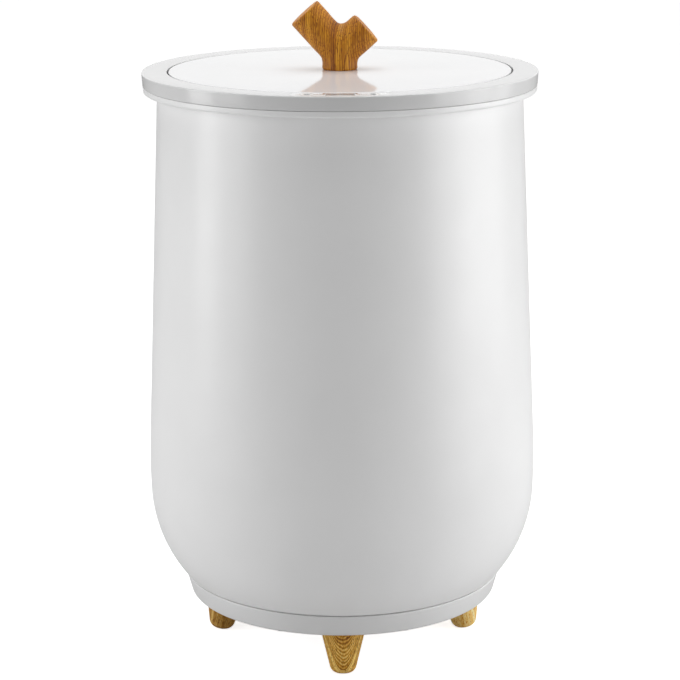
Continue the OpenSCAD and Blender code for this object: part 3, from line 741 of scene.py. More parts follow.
@dataclass(frozen=True)
class Laminated(Finish):
    """A stack of thin sheets, whose edges show as level lines at every second sheet."""

    shade: str = "#5A3A12"
    sheet: float = 0.6
    ramp: tuple[float, float] = (0.1, 0.5)
    depth: float = 0.05
    relief_strength: float = 0.5

    def pattern(self, tree: bpy.types.NodeTree, shader: bpy.types.Node) -> None:
        """Adds the lines in colour and relief.

        Args:
            tree: The material's node tree.
            shader: Its Principled node.
        """
        where = add(tree, "TexCoord").outputs["Object"]
        level = add(tree, "SeparateXYZ", {0: where}).outputs["Z"]
        sheets = add(tree, "Math", {0: level, 1: self.sheet * MM}, operation="PINGPONG").outputs[0]
        share = add(tree, "Math", {0: sheets, 1: per_mm(self.sheet)},
                    operation="MULTIPLY").outputs[0]
        self.tint(tree, shader, share, list(zip(self.ramp, (self.shade, self.colour))))
        self.relief(tree, shader, share, self.depth, self.relief_strength)


@dataclass(frozen=True)
class Fibrous(Finish):
    """Needled felt or open foam: a matted, light-soaking surface, its tufts in millimetres."""

    shade: str = "#9A8C74"
    tuft: float = 2.2
    tuft_stretch: float = 1.6
    ramp: tuple[float, float] = (0.3, 0.65)
    depth: float = 0.5
    relief_strength: float = 0.8

    def pattern(self, tree: bpy.types.NodeTree, shader: bpy.types.Node) -> None:
        """Adds matted tufts in colour and relief.

        Args:
            tree: The material's node tree.
            shader: Its Principled node.
        """
        size = (self.tuft, self.tuft, self.tuft * self.tuft_stretch)
        tufts = self.noise(tree, size, detail=5.0)
        self.tint(tree, shader, tufts, list(zip(self.ramp, (self.shade, self.colour))))
        self.relief(tree, shader, tufts, self.depth, self.relief_strength)


@dataclass(frozen=True)
class MaskedBoard(Finish):
    """A circuit board: copper tracks, a few millimetres apart, under green solder mask."""

    shade: str = "#0E3A22"
    track: float = 1.6
    edge: tuple[float, float] = (0.25, 0.75)
    ramp: tuple[float, float] = (0.35, 0.55)
    depth: float = 0.03
    relief_strength: float = 0.5

    def pattern(self, tree: bpy.types.NodeTree, shader: bpy.types.Node) -> None:
        """Adds a maze of tracks in colour and relief.

        Args:
            tree: The material's node tree.
            shader: Its Principled node.
        """
        where = add(tree, "TexCoord").outputs["Object"]
        cells = add(tree, "TexVoronoi", {"Vector": where, "Scale": per_mm(self.track * 2)},
                    distance="MANHATTAN").outputs["Distance"]
        low, high = self.edge
        share = add(tree, "MapRange", {"Value": cells, "From Min": low,
                                       "From Max": high}).outputs[0]
        self.tint(tree, shader, share, list(zip(self.ramp, (self.shade, self.colour))))
        self.relief(tree, shader, share, self.depth, self.relief_strength)


@dataclass(frozen=True)
class TintedAcrylic(Finish):
    """A milky acrylic window, which lets a little light through."""

    shade: str = "#B4B8BB"
    transmission: float = 0.25
    cloud: float = 9.0
    ripple: float = 2.0
    ripple_depth: float = 0.001

    def pattern(self, tree: bpy.types.NodeTree, shader: bpy.types.Node) -> None:
        """Adds a faint cloud of tint and a hard-coat's tiny ripple.

        Args:
            tree: The material's node tree.
            shader: Its Principled node.
        """
        shader.inputs["Transmission Weight"].default_value = self.transmission
        self.tint(tree, shader, self.noise(tree, (self.cloud,) * 3),
                  [(NOISE_LOW, self.shade), (NOISE_HIGH, self.colour)])
        self.relief(tree, shader, self.noise(tree, (self.ripple,) * 3), self.ripple_depth)


# Polished ABS from a mirror tool: the lid shows the handle's clear mirror image, hardly rippled.
LID_WHITE = GlossMoulding("polished_abs_lid", "#F1F1F2", 0.08, shade="#EEEEEF", ripple=9.0,
                          ripple_depth=0.0006, roughness_spread=0.02)
# The same ABS, less polished: soft-edged highlights run round the ring. Its white is a little
# greyer as painted shade, which darkens the ring's side.
RING_WHITE_WITH_PAINTED_SHADE = GlossMoulding("polished_abs_ring_with_painted_shade", "#DBDBDB", 0.18, shade="#D8D8D8", ripple=9.0,
                           ripple_depth=0.0006, roughness_spread=0.02)
# Satin ABS: broad, blurred stripes of light down the wall, with the faint ripple of a big moulding.
CASING_WHITE = GlossMoulding("satin_abs_casing", "#F0F0F0", 0.30, shade="#EDEDED",
                             roughness_spread=0.05)
# Satin ABS, a little duller than the casing's; its white is greyer as painted shade on the low
# band, which sets the base apart at the seam.
BASE_WHITE_WITH_PAINTED_SHADE = GlossMoulding("satin_abs_base_with_painted_shade", "#E2E2E2", 0.34, shade="#DFDFDF",
                           roughness_spread=0.05)
# Hard-coated polycarbonate: a clear coat over white, which wipes clean and glints at a flat angle.
FASCIA_WHITE = GlossMoulding("hard_coated_fascia", "#ECECEB", 0.12, shade="#E8E8E7", coat=0.6)
# Gloss ABS keys: a small highlight sits in each key's dish.
KEY_WHITE = GlossMoulding("gloss_abs_key", "#E9E9E8", 0.16, shade="#E4E4E3", cloud=12.0)
# Unpainted polypropylene: warmer and waxier than the ABS round it.
LINER_WHITE = GlossMoulding("satin_pp_liner", "#E6E6E3", 0.42, shade="#E0E0DC", cloud=50.0)
# Pad-printed ink: a flat, dry grey line on the gloss key.
SYMBOL_GREY = GrainMoulding("printed_symbol_grey", "#7C7F82", 0.5, shade="#74777A", grain=0.3,
                            depth=0.002)
# Milky acrylic: a pale grey window that hides the display until its figures light up.
LENS = TintedAcrylic("milky_acrylic_window", "#C6CACC", 0.08)
# Silicone rubber: a matt grey line that drinks the light between two white parts.
RUBBER_GREY = GrainMoulding("silicone_rubber_grey", "#8C8C8C", 0.62, shade="#808080", grain=0.6)
# Spark-eroded nylon, in black, ivory and blue: an even grain that breaks up every highlight.
BLACK_MOULDING = GrainMoulding("black_nylon_moulding", "#1C1C1D", 0.5, shade="#141414")
IVORY_MOULDING = GrainMoulding("ivory_nylon_moulding", "#E2D8BE", 0.45, shade="#D6CAAC")
BLUE_MOULDING = GrainMoulding("blue_relay_case", "#1D4E9E", 0.35, shade="#184288", grain=0.4,
                              depth=0.006)
# Moulded silicone, coarse on the heater band and smooth on the sleeves: a dull brick red.
HEATER_RED = GrainMoulding("heater_silicone_red", "#B5491F", 0.55, shade="#9E3C18", grain=1.2,
                           depth=0.08)
SLEEVE_RED = GrainMoulding("silicone_sleeve_red", "#8E1F18", 0.45, shade="#7A1712", grain=0.4,
                           depth=0.006)
# Zinc-plated steel: a cool, slightly cloudy shine on screw heads and washers.
ZINC = TurnedMetal("zinc_plated_steel", "#BFC0C4", 0.34, metallic=1.0)
# Turned brass: a warm shine broken into fine rings by the tool's marks.
BRASS = TurnedMetal("turned_brass", "#C9A35A", 0.28, metallic=1.0, shade="#B08A44")
# Drawn aluminium: pale metal whose fine level lines pull each reflection out sideways.
ALUMINIUM = TurnedMetal("drawn_aluminium", "#C9CBCE", 0.36, metallic=1.0, shade="#BDBFC3", line=0.8)
# Needled felt: matted tan tufts with no shine at all.
FELT = Fibrous("needled_felt", "#C8BBA2", 0.95)
# Open-cell foam: a finer, yellower, pitted surface.
FOAM = Fibrous("open_cell_foam", "#D8D2B0", 0.92, shade="#BDB68F", tuft=1.2)
# Solder mask over copper: satin green with paler tracks just proud of it.
BOARD = MaskedBoard("solder_mask_green", "#1B6B3E", 0.35)
# Lacquered steel laminations: amber, ruled with thin dark lines.
CORE = Laminated("lacquered_laminations", "#C07A2C", 0.45)
# Oiled hardwood: brown streaks of late wood and dark pores run up the stem under a dull sheen.
HANDLE_WOOD = OiledWood("oiled_wood_handle", "#AE6A08", 0.5, ior=1.38, layer_depth=0.2,
                        drift_depth=0.26, turn=-14.0, centre=(0.0, 0.0, 478.0))


class Body(Enum):
    """The parts of the model that move on their own."""

    DRUM = "drum"
    LID = "lid"
    POWER = "power_button"
    TIMER = "timer_button"


class Slot(Enum):
    """The names of the record's material slots for the new pieces."""

    CASING = "casing_white"
    RING = "ring_white"
    FASCIA = "fascia_white"
    DISPLAY = "display_tint"
    KEY = "key_white"
    LID = "lid_white"
    LINER = "liner_white"
    WOOD = "oak"
    BUCKET = "bucket_aluminium"
    BASE = "base_white"


def settle(piece: bpy.types.Object, body: Body, finish: Finish,
           nodes: Iterable[str] = ()) -> bpy.types.Object:
    """Gives a finished piece its material, its body and the solids that it stands for.

    Args:
        piece: The finished piece.
        body: The body it moves with.
        finish: Its finish.
        nodes: The solids that it replaces.

    Returns:
        The piece.
    """
    piece.data.materials.clear()
    piece.data.materials.append(finish.material())
    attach(piece, body.value)
    if nodes:
        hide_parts(*nodes)
    LOG.info("%s: %d faces, %s, on %s", piece.name, len(piece.data.polygons), finish.name,
             body.value)
    return piece


def dress_node(node: str, finish: Finish) -> None:
    """Gives a solid that stays as built its finish.

    Args:
        node: The solid's name.
        finish: Its finish.
    """
    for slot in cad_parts[node].material_slots:
        slot.material = finish.material()
    LOG.info("%s: kept as built, %s", node, finish.name)


# Sub-assemblies


@dataclass(frozen=True)
class Casing:
    """The drum's outer wall: a straight flank, a gentle bend at the belly, a tighter one below."""

    seam_z: float = 59.3
    belly_r: float = 160.63
    belly_z: float = 151.0
    bend: float = 600.0
    low_bend: float = 115.0
    low_angle: float = 2.0
    neck_r: float = 147.75
    neck_z: float = 461.5
    top_z: float = 463.5
    wall: float = 2.5
    lip_round: float = 0.9
    low_steps: int = 40
    belly_steps: int = 16

    def side(self, inset: float) -> list[Corner]:
        """Draws the wall's line from the seam up to the flank's foot.

        Args:
            inset: How far the line is moved inwards.

        Returns:
            The line's corners from the bottom up.
        """
        bend_r = self.belly_r - self.bend
        step = self.bend - self.low_bend
        low_r = bend_r + step * math.cos(math.radians(self.low_angle))
        low_z = self.belly_z - step * math.sin(math.radians(self.low_angle))
        start = math.degrees(math.asin((self.seam_z - low_z) / (self.low_bend - inset)))
        away = Vector((self.neck_r - bend_r, self.neck_z - self.belly_z))
        flank = math.degrees(math.atan2(away.y, away.x) - math.acos(self.bend / away.length))
        low = arc(low_r, low_z, self.low_bend - inset, start, -self.low_angle, self.low_steps)
        belly = arc(bend_r, self.belly_z, self.bend - inset, -self.low_angle, flank,
                    self.belly_steps)
        return low + belly[1:]

    def build(self) -> bpy.types.Object:
        """Makes the wall and dresses it.

        Returns:
            The wall.
        """
        outer, inner = self.side(0.0), self.side(self.wall)
        lip = Corner(outer[0].r, outer[0].z, self.lip_round)
        piece = turned("casing_wall", [
            lip, *outer[1:],
            Corner(self.neck_r, self.neck_z), Corner(self.neck_r, self.top_z),
            Corner(self.neck_r - self.wall, self.top_z), *reversed(inner)])
        return settle(finish_mesh(piece), Body.DRUM, CASING_WHITE, ["outer_casing"])


@dataclass(frozen=True)
class Collar:
    """The ring that the top ring stands on, with a deck inside and recesses for its screws."""

    top_z: float = 466.5
    deck_r: float = 133.2
    deck: float = 3.0
    bore_r: float = 148.05
    lip: float = 0.5
    fillet: float = 2.0
    height: float = 5.0
    edge_r: float = 159.0
    edge_round: float = 2.0
    seam_round: float = 0.3
    screw_r: float = 151.4
    screw_count: int = 6
    screw_hole_d: float = 3.4
    head_hole_d: float = 5.9
    head_depth: float = 2.4

    def build(self) -> bpy.types.Object:
        """Makes the collar, sinks its screw recesses and dresses it.

        Returns:
            The collar.
        """
        under = self.top_z - self.height
        foot = under - self.fillet
        lip_r = self.bore_r + self.lip
        piece = turned("casing_collar_ring", [
            Corner(self.deck_r, self.top_z), Corner(self.deck_r, self.top_z - self.deck),
            Corner(self.bore_r, self.top_z - self.deck), Corner(self.bore_r, foot),
            Corner(lip_r, foot), Corner(lip_r, under, self.fillet),
            Corner(self.edge_r, under, self.edge_round),
            Corner(self.edge_r, self.top_z, self.seam_round)])
        recess = joined("recess", [
            rod("recess", self.head_hole_d / 2, self.fillet + self.head_depth + OVERRUN,
                steps=HOLE_STEPS),
            rod("hole", self.screw_hole_d / 2, self.height + self.fillet + 2 * OVERRUN,
                steps=FINE_HOLE_STEPS)])
        place(recess, shift(z=foot - OVERRUN))
        for angle in spaced(self.screw_count):
            cut(piece, copy_of(recess, "cutter", around(angle, self.screw_r)))
        bpy.data.objects.remove(recess)
        return settle(finish_mesh(piece), Body.DRUM, CASING_WHITE,
                      ["casing_collar"])


@dataclass(frozen=True)
class ControlPanel:
    """The fascia let into the top ring, with a window between two keys.

    The dish of a key has its edge and its slope at shares of the key's radius, and the slope's
    depth is a share of the dish's. Each symbol is made of lines that stand a mark's height proud.
    """

    top_z: float = 478.0
    plate: float = 3.0
    half_angle: float = 14.4
    inner_r: float = 141.5
    outer_r: float = 155.0
    thick: float = 1.4
    edge_round: float = 0.25
    key_r: float = 148.25
    key_angle: float = 9.6
    key_d: float = 9.0
    key_rim_d: float = 11.4
    key_rim: float = 1.0
    key_stem_d: float = 3.4
    key_stem: float = 0.7
    key_drop: float = 4.2
    key_round: float = 0.45
    rim_round: float = 0.2
    dish: float = 0.35
    edge_share: float = 0.82
    edge_drop: float = 0.02
    dish_edge_round: float = 0.6
    slope_share: float = 0.4
    slope_depth: float = 0.8
    slope_round: float = 1.5
    window_w: float = 22.0
    window_l: float = 8.0
    window_round: float = 0.3
    gap: float = 0.15
    mark: float = 0.12
    mark_sink: float = 0.05
    symbol_r: float = 1.9
    symbol_gap: float = 70.0
    line: float = 0.42
    power_bar: float = 2.0
    power_bar_start: float = 0.7
    minute_hand: float = 1.3
    hour_hand: float = 1.0

    def sector(self, name: str, grow: float, low: float, high: float) -> bpy.types.Object:
        """Makes a block with the fascia's outline.

        Args:
            name: Name of the block.
            grow: How far its sides stand outside the fascia's.
            low: Height of its underside.
            high: Height of its top.

        Returns:
            The block.
        """
        spare = math.degrees(grow / self.key_r)
        return turned(name, [
            Corner(self.inner_r - grow, low), Corner(self.outer_r + grow, low),
            Corner(self.outer_r + grow, high), Corner(self.inner_r - grow, high)],
            steps=POST_STEPS, sweep=2 * (self.half_angle + spare))

    def openings(self, low: float, high: float) -> list[bpy.types.Object]:
        """Makes the cutters for the keys and the window.

        Args:
            low: Height of their undersides.
            high: Height of their tops.

        Returns:
            The two keys' cutters and the window's.
        """
        cutters = [place(rod("key_hole", self.key_d / 2 + self.gap, high - low),
                         around(side * self.key_angle, self.key_r, low)) for side in (-1, 1)]
        window = slab("window_hole", (self.window_w + 2 * self.gap, self.window_l + 2 * self.gap,
                                      high - low))
        return [*cutters, place(window, around(0, self.key_r, low))]

    def key(self, name: str, side: int) -> bpy.types.Object:
        """Makes a key: a dished cap with a soft edge, the rim that holds it in and its stem.

        Args:
            name: Name of the key.
            side: Its side of the window: -1 for the left one and 1 for the right one.

        Returns:
            The key.
        """
        top, rim_z = self.top_z, self.top_z - self.key_drop
        r, rim_r, stem_r = self.key_d / 2, self.key_rim_d / 2, self.key_stem_d / 2
        piece = turned(name, [
            Corner(0, rim_z - self.key_stem), Corner(stem_r, rim_z - self.key_stem, self.rim_round),
            Corner(stem_r, rim_z), Corner(rim_r, rim_z, self.rim_round),
            Corner(rim_r, rim_z + self.key_rim, self.rim_round), Corner(r, rim_z + self.key_rim),
            Corner(r, top, self.key_round),
            Corner(r * self.edge_share, top - self.edge_drop, self.dish_edge_round),
            Corner(r * self.slope_share, top - self.dish * self.slope_depth, self.slope_round),
            Corner(0, top - self.dish)], closed=False, steps=KEY_STEPS)
        return place(piece, around(side * self.key_angle, self.key_r))

    def stroke(self, length: float, angle: float, start: float) -> bpy.types.Object:
        """Makes a short bar of a symbol.

        Args:
            length: Length of the bar.
            angle: Where it points, in degrees from the direction of the drum's axis.
            start: Distance of its near end from the symbol's centre.

        Returns:
            The bar.
        """
        bar = slab("stroke", (self.line, length, self.mark + self.dish))
        place(bar, shift(y=start + length / 2, z=-self.dish))
        return place(bar, lean(angle, "Z"))

    def ring(self, gap: float) -> bpy.types.Object:
        """Makes the round line of a symbol.

        Args:
            gap: The angle that it leaves open towards the drum's axis, in degrees.

        Returns:
            The line.
        """
        inner_r, outer_r = self.symbol_r - self.line / 2, self.symbol_r + self.line / 2
        return turned("ring", [
            Corner(inner_r, -self.dish), Corner(outer_r, -self.dish),
            Corner(outer_r, self.mark), Corner(inner_r, self.mark)],
            steps=POST_STEPS, sweep=360.0 - gap)

    def symbol(self, name: str, side: int, parts: Sequence[bpy.types.Object]) -> bpy.types.Object:
        """Joins a symbol's lines and lays them on a key's dish."""
        high = self.top_z - self.mark - self.mark_sink
        return place(joined(name, parts), around(side * self.key_angle, self.key_r, high))

    def build(self) -> None:
        """Makes the fascia, window and keys and dresses them."""
        fascia = self.sector("fascia_plate", 0.0, self.top_z - self.thick, self.top_z)
        for cutter in self.openings(self.top_z - self.thick - OVERRUN, self.top_z + OVERRUN):
            cut(fascia, cutter)
        soften(fascia, self.edge_round)
        settle(finish_mesh(fascia), Body.DRUM, FASCIA_WHITE, ["panel_fascia"])
        window = slab("window_lens", (self.window_w, self.window_l, self.plate), self.window_round)
        place(window, around(0, self.key_r, self.top_z - self.plate))
        settle(finish_mesh(window), Body.DRUM, LENS, ["display_lens"])
        settle(finish_mesh(self.key("power_key_cap", -1)), Body.POWER, KEY_WHITE,
               ["power_key"])
        settle(finish_mesh(self.key("timer_key_cap", 1)), Body.TIMER, KEY_WHITE,
               ["timer_key"])
        power = self.symbol("power_symbol", -1, [
            self.ring(self.symbol_gap), self.stroke(self.power_bar, 0.0, self.power_bar_start)])
        settle(finish_mesh(power), Body.POWER, SYMBOL_GREY)
        clock = self.symbol("timer_symbol", 1, [
            self.ring(0.0), self.stroke(self.minute_hand, 0.0, 0.0),
            self.stroke(self.hour_hand, -90.0, 0.0)])
        settle(finish_mesh(clock), Body.TIMER, SYMBOL_GREY)


@dataclass(frozen=True)
class TopRing:
    """The gloss ring round the lid, with the panel's recess and a ledge for the lid."""

    top_z: float = 478.0
    plate_z: float = 475.0
    low_z: float = 466.75
    boss_low_z: float = 466.5
    outer_r: float = 160.0
    skirt: float = 2.5
    edge_round: float = 1.0
    foot_r: float = 159.2
    foot_round: float = 0.4
    bore_r: float = 139.6
    bore_round: float = 0.6
    ledge_round: float = 0.5
    wall: float = 2.5
    ledge_r: float = 132.5
    ledge_z: float = 470.7
    seal_z: float = 468.7
    boss_r: float = 151.4
    boss_d: float = 7.0
    boss_count: int = 6

    def build(self, panel: ControlPanel) -> bpy.types.Object:
        """Makes the ring with the panel's recess and openings, and dresses it.

        Args:
            panel: The control panel that is let into it.

        Returns:
            The ring.
        """
        skirt_r = self.outer_r - self.skirt
        cavity_r = self.bore_r + self.wall
        piece = turned("gloss_top_ring", [
            Corner(skirt_r, self.low_z), Corner(self.foot_r, self.low_z, self.foot_round),
            Corner(self.outer_r, self.top_z, self.edge_round),
            Corner(self.bore_r, self.top_z, self.bore_round), Corner(self.bore_r, self.ledge_z),
            Corner(self.ledge_r, self.ledge_z, self.ledge_round), Corner(self.ledge_r, self.seal_z),
            Corner(cavity_r, self.seal_z), Corner(cavity_r, self.plate_z),
            Corner(skirt_r, self.plate_z)])
        above = self.top_z + OVERRUN
        cut(piece, panel.sector("recess", panel.gap, self.top_z - panel.thick, above))
        for cutter in panel.openings(self.plate_z - OVERRUN, above):
            cut(piece, cutter)
        boss = rod("boss", self.boss_d / 2, self.plate_z - self.boss_low_z + SINK, steps=HOLE_STEPS)
        for angle in spaced(self.boss_count):
            post = copy_of(boss, "post", around(angle, self.boss_r, self.boss_low_z))
            cut(piece, post, Boolean.UNITE)
        bpy.data.objects.remove(boss)
        # The ring's greyer white is painted shade on its side and top.
        return settle(finish_mesh(piece), Body.DRUM, RING_WHITE_WITH_PAINTED_SHADE, ["top_ring"])


@dataclass(frozen=True)
class Lid:
    """The lift-off lid: a gloss cover with a rim, over a white liner."""

    top_z: float = 478.0
    plate: float = 3.0
    radius: float = 138.2
    edge_round: float = 0.8
    rim: float = 2.5
    rim_z: float = 473.0
    rim_round: float = 0.4
    liner_r: float = 130.0
    liner_flange_r: float = 135.75
    liner_wall: float = 2.0
    liner_low_z: float = 461.0
    liner_round: float = 4.0
    liner_inner_round: float = 3.0
    liner_neck_round: float = 0.5
    bead_r: float = 112.0
    bead: float = 1.2
    bead_foot: float = 4.0
    bead_crest: float = 2.0
    bead_round: float = 1.0
    bolt_hole_r: float = 3.2

    def build(self) -> None:
        """Makes the cover and the liner and dresses them."""
        under = self.top_z - self.plate
        inside = self.radius - self.rim
        cover = turned("gloss_lid_cover", [
            Corner(self.bolt_hole_r, self.top_z), Corner(self.bolt_hole_r, under),
            Corner(inside, under, self.rim_round), Corner(inside, self.rim_z, self.rim_round),
            Corner(self.radius, self.rim_z, self.rim_round),
            Corner(self.radius, self.top_z, self.edge_round)])
        settle(finish_mesh(cover), Body.LID, LID_WHITE, ["lid_cover"])
        low, wall = self.liner_low_z, self.liner_wall
        crest = low + self.bead
        liner = turned("satin_lid_liner", [
            Corner(0, low), Corner(self.bead_r - self.bead_foot, low, self.bead_round),
            Corner(self.bead_r - self.bead_crest, crest, self.bead_round),
            Corner(self.bead_r + self.bead_crest, crest, self.bead_round),
            Corner(self.bead_r + self.bead_foot, low, self.bead_round),
            Corner(self.liner_r, low, self.liner_round),
            Corner(self.liner_r, under - wall, self.liner_neck_round),
            Corner(self.liner_flange_r, under - wall, self.rim_round),
            Corner(self.liner_flange_r, under, self.rim_round),
            Corner(self.liner_r - wall, under),
            Corner(self.liner_r - wall, low + wall, self.liner_inner_round),
            Corner(0, low + wall)], closed=False)
        settle(finish_mesh(liner), Body.LID, LINER_WHITE, ["lid_liner"])
        dress_node("lid_insulation", FOAM)
        dress_node("lid_gasket", RUBBER_GREY)
        dress_node("handle_insert", BRASS)
        for node in ("handle_washer", "handle_screw", "lid_screws"):
            dress_node(node, ZINC)


@dataclass(frozen=True)
class ForkHandle:
    """The wooden handle: a round stem that parts into a long and a short arm.

    The crotch is where the arms part, at a share of the radius above the fork. The flow that melts
    the joints and the calm that follows it are each a factor and a number of passes.
    """

    base_z: float = 478.0
    radius: float = 14.25
    fork: float = 14.2
    long_arm: float = 42.4
    long_lean: float = 42.0
    short_arm: float = 29.0
    short_lean: float = 48.0
    end_round: float = 1.2
    web_r: float = 7.0
    web_x: float = 2.0
    web_top: float = 37.0
    grain: float = 0.7
    crotch: float = 1.35
    knot_r: float = 4.0
    blend_reach: float = 17.0
    blend_fade: float = 5.0
    foot_kept: float = 3.0
    flow: tuple[float, int] = (0.6, 100)
    calm: tuple[float, int] = (0.5, 3)
    smooth_angle: float = 60.0
    ball_angle: float = 84.0
    ball_steps: int = 24

    def arm(self, length: float, angle: float) -> bpy.types.Object:
        """Makes an arm from the fork, leaning from the vertical towards +X."""
        piece = rod("arm", self.radius, length, self.end_round, WOOD_STEPS)
        return place(piece, shift(z=self.base_z + self.fork) @ lean(angle, "Y"))

    def ball(self, name: str, radius: float) -> bpy.types.Object:
        """Makes a ball about the origin, turned from a half circle.

        Args:
            name: Name of the ball.
            radius: Its radius.

        Returns:
            The ball.
        """
        half = arc(0, 0, radius, -self.ball_angle, self.ball_angle, self.ball_steps)
        return turned(name, [Corner(0, -radius), *half, Corner(0, radius)], closed=False,
                      steps=WOOD_STEPS)

    def build(self) -> bpy.types.Object:
        """Unites the rods, melts their joints together and dresses the handle.

        Returns:
            The handle.
        """
        piece = place(rod("forked_handle", self.radius, self.fork, self.end_round, WOOD_STEPS),
                      shift(z=self.base_z))
        knee = self.ball("knee", self.radius)
        cut(piece, place(knee, shift(z=self.base_z + self.fork)), Boolean.UNITE)
        web = place(self.ball("web", self.web_r),
                    shift(self.web_x, 0, self.base_z + self.web_top - self.web_r))
        cut(piece, web, Boolean.UNITE)
        cut(piece, self.arm(self.long_arm, -self.long_lean), Boolean.UNITE)
        cut(piece, self.arm(self.short_arm, self.short_lean), Boolean.UNITE)
        hold(piece)
        even = piece.modifiers.new("even", "REMESH")
        even.mode = "VOXEL"
        even.voxel_size = self.grain * MM
        bpy.ops.object.modifier_apply(modifier=even.name)
        self.melt(piece)
        return settle(finish_mesh(piece, self.smooth_angle), Body.LID, HANDLE_WOOD,
                      ["lid_handle"])

    def melt(self, piece: bpy.types.Object) -> None:
        """Smooths the mesh near the fork, so that the arms flow into the stem.

        Args:
            piece: The handle's even mesh.
        """
        knot = Vector((0, 0, (self.base_z + self.fork) * MM))
        crotch = knot + Vector((self.web_x * MM, 0, self.radius * MM * self.crotch))
        group = piece.vertex_groups.new(name="joints")
        for vertex in piece.data.vertices:
            if vertex.co.z < (self.base_z + self.foot_kept) * MM:
                continue
            away = min((vertex.co - knot).length - self.knot_r * MM,
                       (vertex.co - crotch).length) / MM
            weight = min(1.0, max(0.0, (self.blend_reach - away) / self.blend_fade))
            if weight > 0:
                group.add([vertex.index], weight, "REPLACE")
        hold(piece)
        for name, (factor, passes), where in (("flow", self.flow, group.name),
                                              ("calm", self.calm, "")):
            tool = piece.modifiers.new(name, "SMOOTH")
            tool.factor, tool.iterations, tool.vertex_group = factor, passes, where
            bpy.ops.object.modifier_apply(modifier=tool.name)
        piece.vertex_groups.remove(piece.vertex_groups["joints"])


@dataclass(frozen=True)
class Bucket:
    """The drawn aluminium bucket that holds the towels, and its seal."""

    inner_r: float = 131.0
    wall: float = 1.2
    floor_z: float = 83.0
    lip_z: float = 467.7
    lip_r: float = 138.0
    lip_round: float = 0.3
    mouth_round: float = 0.6
    corner: float = 10.0
    dais_r: float = 96.0
    dais: float = 1.0
    dais_slope: float = 3.0
    dais_round: float = 1.0

    def build(self) -> bpy.types.Object:
        """Makes the bucket with its pressed floor and dresses it.

        Returns:
            The bucket.
        """
        low = self.floor_z - self.wall
        outer_r = self.inner_r + self.wall
        piece = turned("drawn_bucket", [
            Corner(0, low), Corner(outer_r, low, self.corner),
            Corner(outer_r, self.lip_z - self.wall),
            Corner(self.lip_r, self.lip_z - self.wall, self.lip_round),
            Corner(self.lip_r, self.lip_z, self.lip_round),
            Corner(self.inner_r, self.lip_z, self.mouth_round),
            Corner(self.inner_r, self.floor_z, self.corner - self.wall),
            Corner(self.dais_r + self.dais_slope, self.floor_z, self.dais_round),
            Corner(self.dais_r, self.floor_z + self.dais, self.dais_round),
            Corner(0, self.floor_z + self.dais)], closed=False)
        dress_node("bucket_seal", RUBBER_GREY)
        return settle(finish_mesh(piece), Body.DRUM, ALUMINIUM,
                      ["inner_bucket"])


@dataclass(frozen=True)
class Post:
    """A round post on the base's floor, with a hole down its middle.

    The hole goes through the post and as far below it as its depth says.
    """

    where: Matrix
    radius: float
    height: float
    hole_r: float
    depth: float

    def solid(self) -> bpy.types.Object:
        """Makes the post, sunk a little in the floor."""
        return place(rod("post", self.radius, self.height + SINK, steps=POST_STEPS),
                     self.where @ shift(z=-SINK))

    def hole(self) -> bpy.types.Object:
        """Makes the cutter for the hole."""
        return place(rod("hole", self.hole_r, self.height + self.depth + OVERRUN, steps=HOLE_STEPS),
                     self.where @ shift(z=-self.depth))


